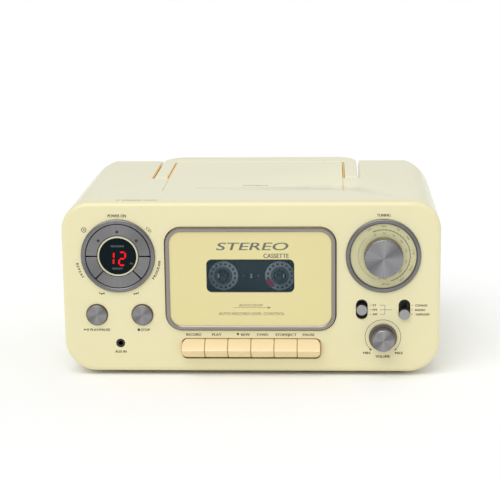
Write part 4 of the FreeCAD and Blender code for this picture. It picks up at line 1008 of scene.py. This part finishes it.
class HIFI_OT_lettering(bpy.types.Operator):
    """Plain generic words printed on the face, the door and the lid"""
    bl_idname = "hifi.lettering"
    bl_label = "Printed words"

    def execute(self, context):
        lx, lz = mm_of(LEFT_DIAL)
        words = [("POWER ON", lx, 119.2, 2.3, 13.4), ("AUX IN", lx, 15.6, 2.0, 8.4),
                 ("PLAY/PAUSE", lx - 15.0, 32.5, 2.0, 15.0), ("STOP", lx + 19.0, 32.5, 2.0, 6.6),
                 ("TUNING", -lx, 119.3, 2.1, 9.8), ("MIN", -lx - 12.0, 15.0, 2.0, 5.0),
                 ("MAX", -lx + 12.0, 15.0, 2.0, 5.8), ("VOLUME", -lx, 12.3, 2.1, 10.6),
                 ("RECORD", -42.8, 28.9, 2.0, 11.2), ("PLAY", -25.6, 28.9, 2.0, 7.0),
                 ("REW", -4.2, 28.9, 2.0, 6.6), ("F.FWD", 8.7, 28.9, 2.0, 8.2),
                 ("STOP/EJECT", 26.0, 28.9, 2.0, 15.6), ("PAUSE", 42.9, 28.9, 2.0, 8.6),
                 ("ST", 91.5, 51.6, 1.7, 2.6), ("FM", 91.7, 48.1, 1.7, 3.0), ("AM", 91.8, 44.7, 1.7, 3.2),
                 ("CD/AUX", 126.0, 51.5, 1.7, 8.8), ("RADIO", 125.2, 48.0, 1.7, 7.2),
                 ("TAPE/OFF", 126.9, 44.6, 1.7, 10.6)]
        marks = [letters(t, x, z, h, w, weight=0.22) for t, x, z, h, w in words]
        marks += curved_letters("REPEAT", lx, lz, 30.0, 201, 2.0, 2.0, inward=True, weight=0.3)
        marks += curved_letters("PROGRAM", lx, lz, 30.0, -21, 2.0, 2.1, inward=True, weight=0.3)
        marks += [letters("CD", lx + 23.4, 108.7, 2.2, 4.6, turn=-45, weight=0.12)]
        for side in (-1, 1):
            cx = lx + side * 12.6
            turn = math.radians(side * 14)
            for k in (0, 1):
                reach = k * 1.7 - 0.9
                marks.append(arrow_head(cx + side * reach * math.cos(turn), 60.3 + reach * math.sin(turn),
                                        (0 if side > 0 else 180) + math.degrees(turn), 1.15))
            ex, ez = cx + side * 2.1 * math.cos(turn), 60.3 + 2.1 * math.sin(abs(turn))
            marks.append(stroke(ex, ez - 1.0, ex - side * 0.25, ez + 1.0, 0.4))
        marks += [arrow_head(lx - 26.4, 32.5, 0, 1.2), stroke(lx - 24.8, 31.6, lx - 24.8, 33.4, 0.5),
                  stroke(lx - 23.9, 31.6, lx - 23.9, 33.4, 0.5),
                  flat_shape(SQUARE * 0.95 + [lx + 14.0, 32.5], 0, 0.04)]
        marks += [ring_mark(lx - 24.8, 108.6, 1.7, 0.5), dot(lx - 24.8, 108.6, 0.6)]
        vx, vz = mm_of(VOLUME)
        marks += [arc_line(vx, vz, 13.2, -46, 226, 0.32), arrow_head(vx + 9.2, vz - 9.7, 225, 1.1),
                  dot(vx - 9.2, vz - 9.6, 0.75)]
        for z in (51.6, 48.1, 44.7):
            marks += [stroke(88.0, z, 89.2, z, 0.3), stroke(118.6, z, 119.8, z, 0.3)]
            marks += [stroke(95.6, z, 99.2, z, 0.25)]
        marks += [stroke(99.2, 44.7, 99.2, 51.6, 0.25), stroke(99.2, 48.1, 104.6, 48.1, 0.25)]
        printed("face_print", marks, "cabinet", "cream_face")
        title = [letters("STEREO", 1.6, 96.4, 6.0, 53.0, level=0.6, weight=0.4, slant=0.18)]
        printed("door_title", title, "cassette_door", "cream_face", "title_ink")
        series = [letters("CASSETTE", 19.2, 89.2, 3.4, 18.5, level=0.6, weight=0.2)]
        printed("door_series", series, "cassette_door", "cream_face", "grey_ink")
        door = [letters("AUTO STOP", 0.1, 51.6, 2.0, 17.5, level=0.6, weight=0.15),
                letters("AUTO RECORD LEVEL CONTROL", 0.7, 45.2, 2.2, 49.0, level=0.6, weight=0.15),
                stroke(-12.8, 49.8, 12.4, 49.8, 0.28, 0.6), arrow_head(13.8, 49.8, 0, 1.5, 0.6)]
        printed("door_notes", door, "cassette_door", "cream_face", "pale_ink")
        lid = [letters("OPEN", 1, 0, 3.2, 19, weight=0.15), stroke(-44, -9.5, 44, -9.5, 0.4)]
        printed("lid_print", [lay_on_top(mark, 65, 0) for mark in lid], "cd_lid", "cream_case", "pale_ink")
        top = [letters("WIRELESS AUDIO", -82, 0, 2.6, 27, weight=0.2), ring_mark(-98, 0, 1.1, 0.4)]
        printed("top_print", [lay_on_top(mark, 9.4, 0) for mark in top], "cabinet", "cream_case", "title_ink")
        return {"FINISHED"}


class HIFI_OT_tape_deck(bpy.types.Operator):
    """Marked reel rings and window scale behind the cassette door"""
    bl_idname = "hifi.tape_deck"
    bl_label = "Tape deck"

    def execute(self, context):
        for body, spot in REELS.items():
            node = body + "_table"
            dress(finish("black_plastic"), node)
            hub = (spot.x, FACE_Y, spot.z)
            ring = lathe(node + "_ring", [(6.6, -17.6), (6.6, -16.95), (6.9, -16.75), (11.0, -16.75), (11.15, -16.95),
                                          (11.15, -17.6)], hub, finish("reel_ring"), 72)
            fit(ring, body, "reel_grey")
            blocks = [reel_mark(spot, k * 22.5 + 11.25, -16.75, 9.0, 0.85, 0.75) for k in range(16)]
            printed(node + "_marks", blocks, body, "black_plastic", "black_plastic")
            disc = lathe(node + "_disc", [(3.6, -17.1), (3.6, -16.7), (6.4, -16.7), (6.6, -16.9), (6.6, -17.1)], hub,
                         finish("reel_grey"), 60)
            fit(disc, body, "reel_grey")
        mx, mz = mm_of((WINDOW_LOW + WINDOW_HIGH) / 2)
        marks = [letters(t, mx + x, mz - 0.2, 3.2, level=-1.55, weight=0.15) for t, x in
                 (("3", -24), ("2", 0.5), ("1", 24.6))]
        marks += [dot(mx + x, mz - 0.2, 0.4, -1.6) for x in (-18.5, -9.5, -5, 6, 18.5)]
        printed("window_scale", marks, "cassette_door", "smoked_window", "scale_ink")
        spot = REELS["takeup_reel"]
        sector = sweep("reel_red_mark", circle_path(spot.x, spot.z, 9.1 * MM, 196, 236, 18),
                       [(-1.9, -16.74), (-1.9, -16.66), (1.9, -16.66), (1.9, -16.74)], finish("red_mark"))
        fit(sector, "takeup_reel", "reel_grey")
        return {"FINISHED"}


class HIFI_OT_stage(bpy.types.Operator):
    """Pale floor, soft lights, world and camera"""
    bl_idname = "hifi.stage"
    bl_label = "Stage"

    def execute(self, context):
        scene = context.scene
        scene.view_settings.view_transform = "Standard"
        floor = bpy.data.meshes.new("floor")
        floor.from_pydata([(-40, -40, 0), (40, -40, 0), (40, 40, 0), (-40, 40, 0)], [], [(0, 1, 2, 3)])
        ground = bpy.data.objects.new("floor", floor)
        scene.collection.objects.link(ground)
        floor.materials.append(moulded("floor_paint", (0.95, 0.95, 0.95), 0.9, 0.01, 0.0, 0.0, 0.0))
        world = bpy.data.worlds.new("studio")
        scene.world = world
        world.use_nodes = True
        sky = world.node_tree.nodes["Background"]
        sky.inputs["Color"].default_value = (1, 1, 1, 1)
        sky.inputs["Strength"].default_value = 0.62
        level = settings().light_level
        soft_sun("key_sun", (-0.35, -0.75, 1.25), 1.42 * level, 50)
        soft_sun("fill_sun", (0.9, 0.3, 1.0), 0.35 * level, 80)
        lens = bpy.data.cameras.new("camera")
        lens.sensor_width = 36
        lens.lens = 109.5
        lens.clip_start = 0.01
        eye = bpy.data.objects.new("camera", lens)
        scene.collection.objects.link(eye)
        yaw, pitch, roll = math.radians(3.10), math.radians(12.36), math.radians(-0.71)
        forward = Vector((-math.sin(yaw) * math.cos(pitch), math.cos(yaw) * math.cos(pitch), -math.sin(pitch)))
        right = Vector((math.cos(yaw), math.sin(yaw), 0))
        up = right.cross(forward)
        across = right * math.cos(roll) + up * math.sin(roll)
        above = up * math.cos(roll) - right * math.sin(roll)
        turn = Matrix((across, above, -forward)).transposed()
        eye.matrix_world = Matrix.Translation((0.0591, -1.0914 + FACE_Y, 0.3329 + BASE_Z)) @ turn.to_4x4()
        scene.camera = eye
        return {"FINISHED"}


class HIFI_PT_panel(bpy.types.Panel):
    """Lists the pieces in the order they are made"""
    bl_label = "Portable hifi"
    bl_idname = "HIFI_PT_panel"
    bl_space_type = "VIEW_3D"
    bl_region_type = "UI"
    bl_category = "Hifi"

    def draw(self, context):
        look = context.scene.hifi
        for name in ("face_colour", "case_colour", "door_colour", "key_colour", "ink_colour", "ink_depth",
                     "key_round", "knurl_count", "light_level"):
            self.layout.prop(look, name)
        for step in STEPS:
            self.layout.operator(step)


STEPS = ("hifi.casing", "hifi.cassette_door", "hifi.keys", "hifi.left_dial", "hifi.right_dial",
         "hifi.lettering", "hifi.tape_deck", "hifi.stage")
CLASSES = (HifiSettings, HIFI_OT_casing, HIFI_OT_cassette_door, HIFI_OT_keys, HIFI_OT_left_dial,
           HIFI_OT_right_dial, HIFI_OT_lettering, HIFI_OT_tape_deck, HIFI_OT_stage, HIFI_PT_panel)


def register():
    for item in CLASSES:
        bpy.utils.register_class(item)
    bpy.types.Scene.hifi = PointerProperty(type=HifiSettings)


def unregister():
    del bpy.types.Scene.hifi
    for item in reversed(CLASSES):
        bpy.utils.unregister_class(item)


def main():
    register()
    for step in STEPS:
        group, call = step.split(".")
        getattr(getattr(bpy.ops, group), call)()


if __name__ == "__main__":
    main()
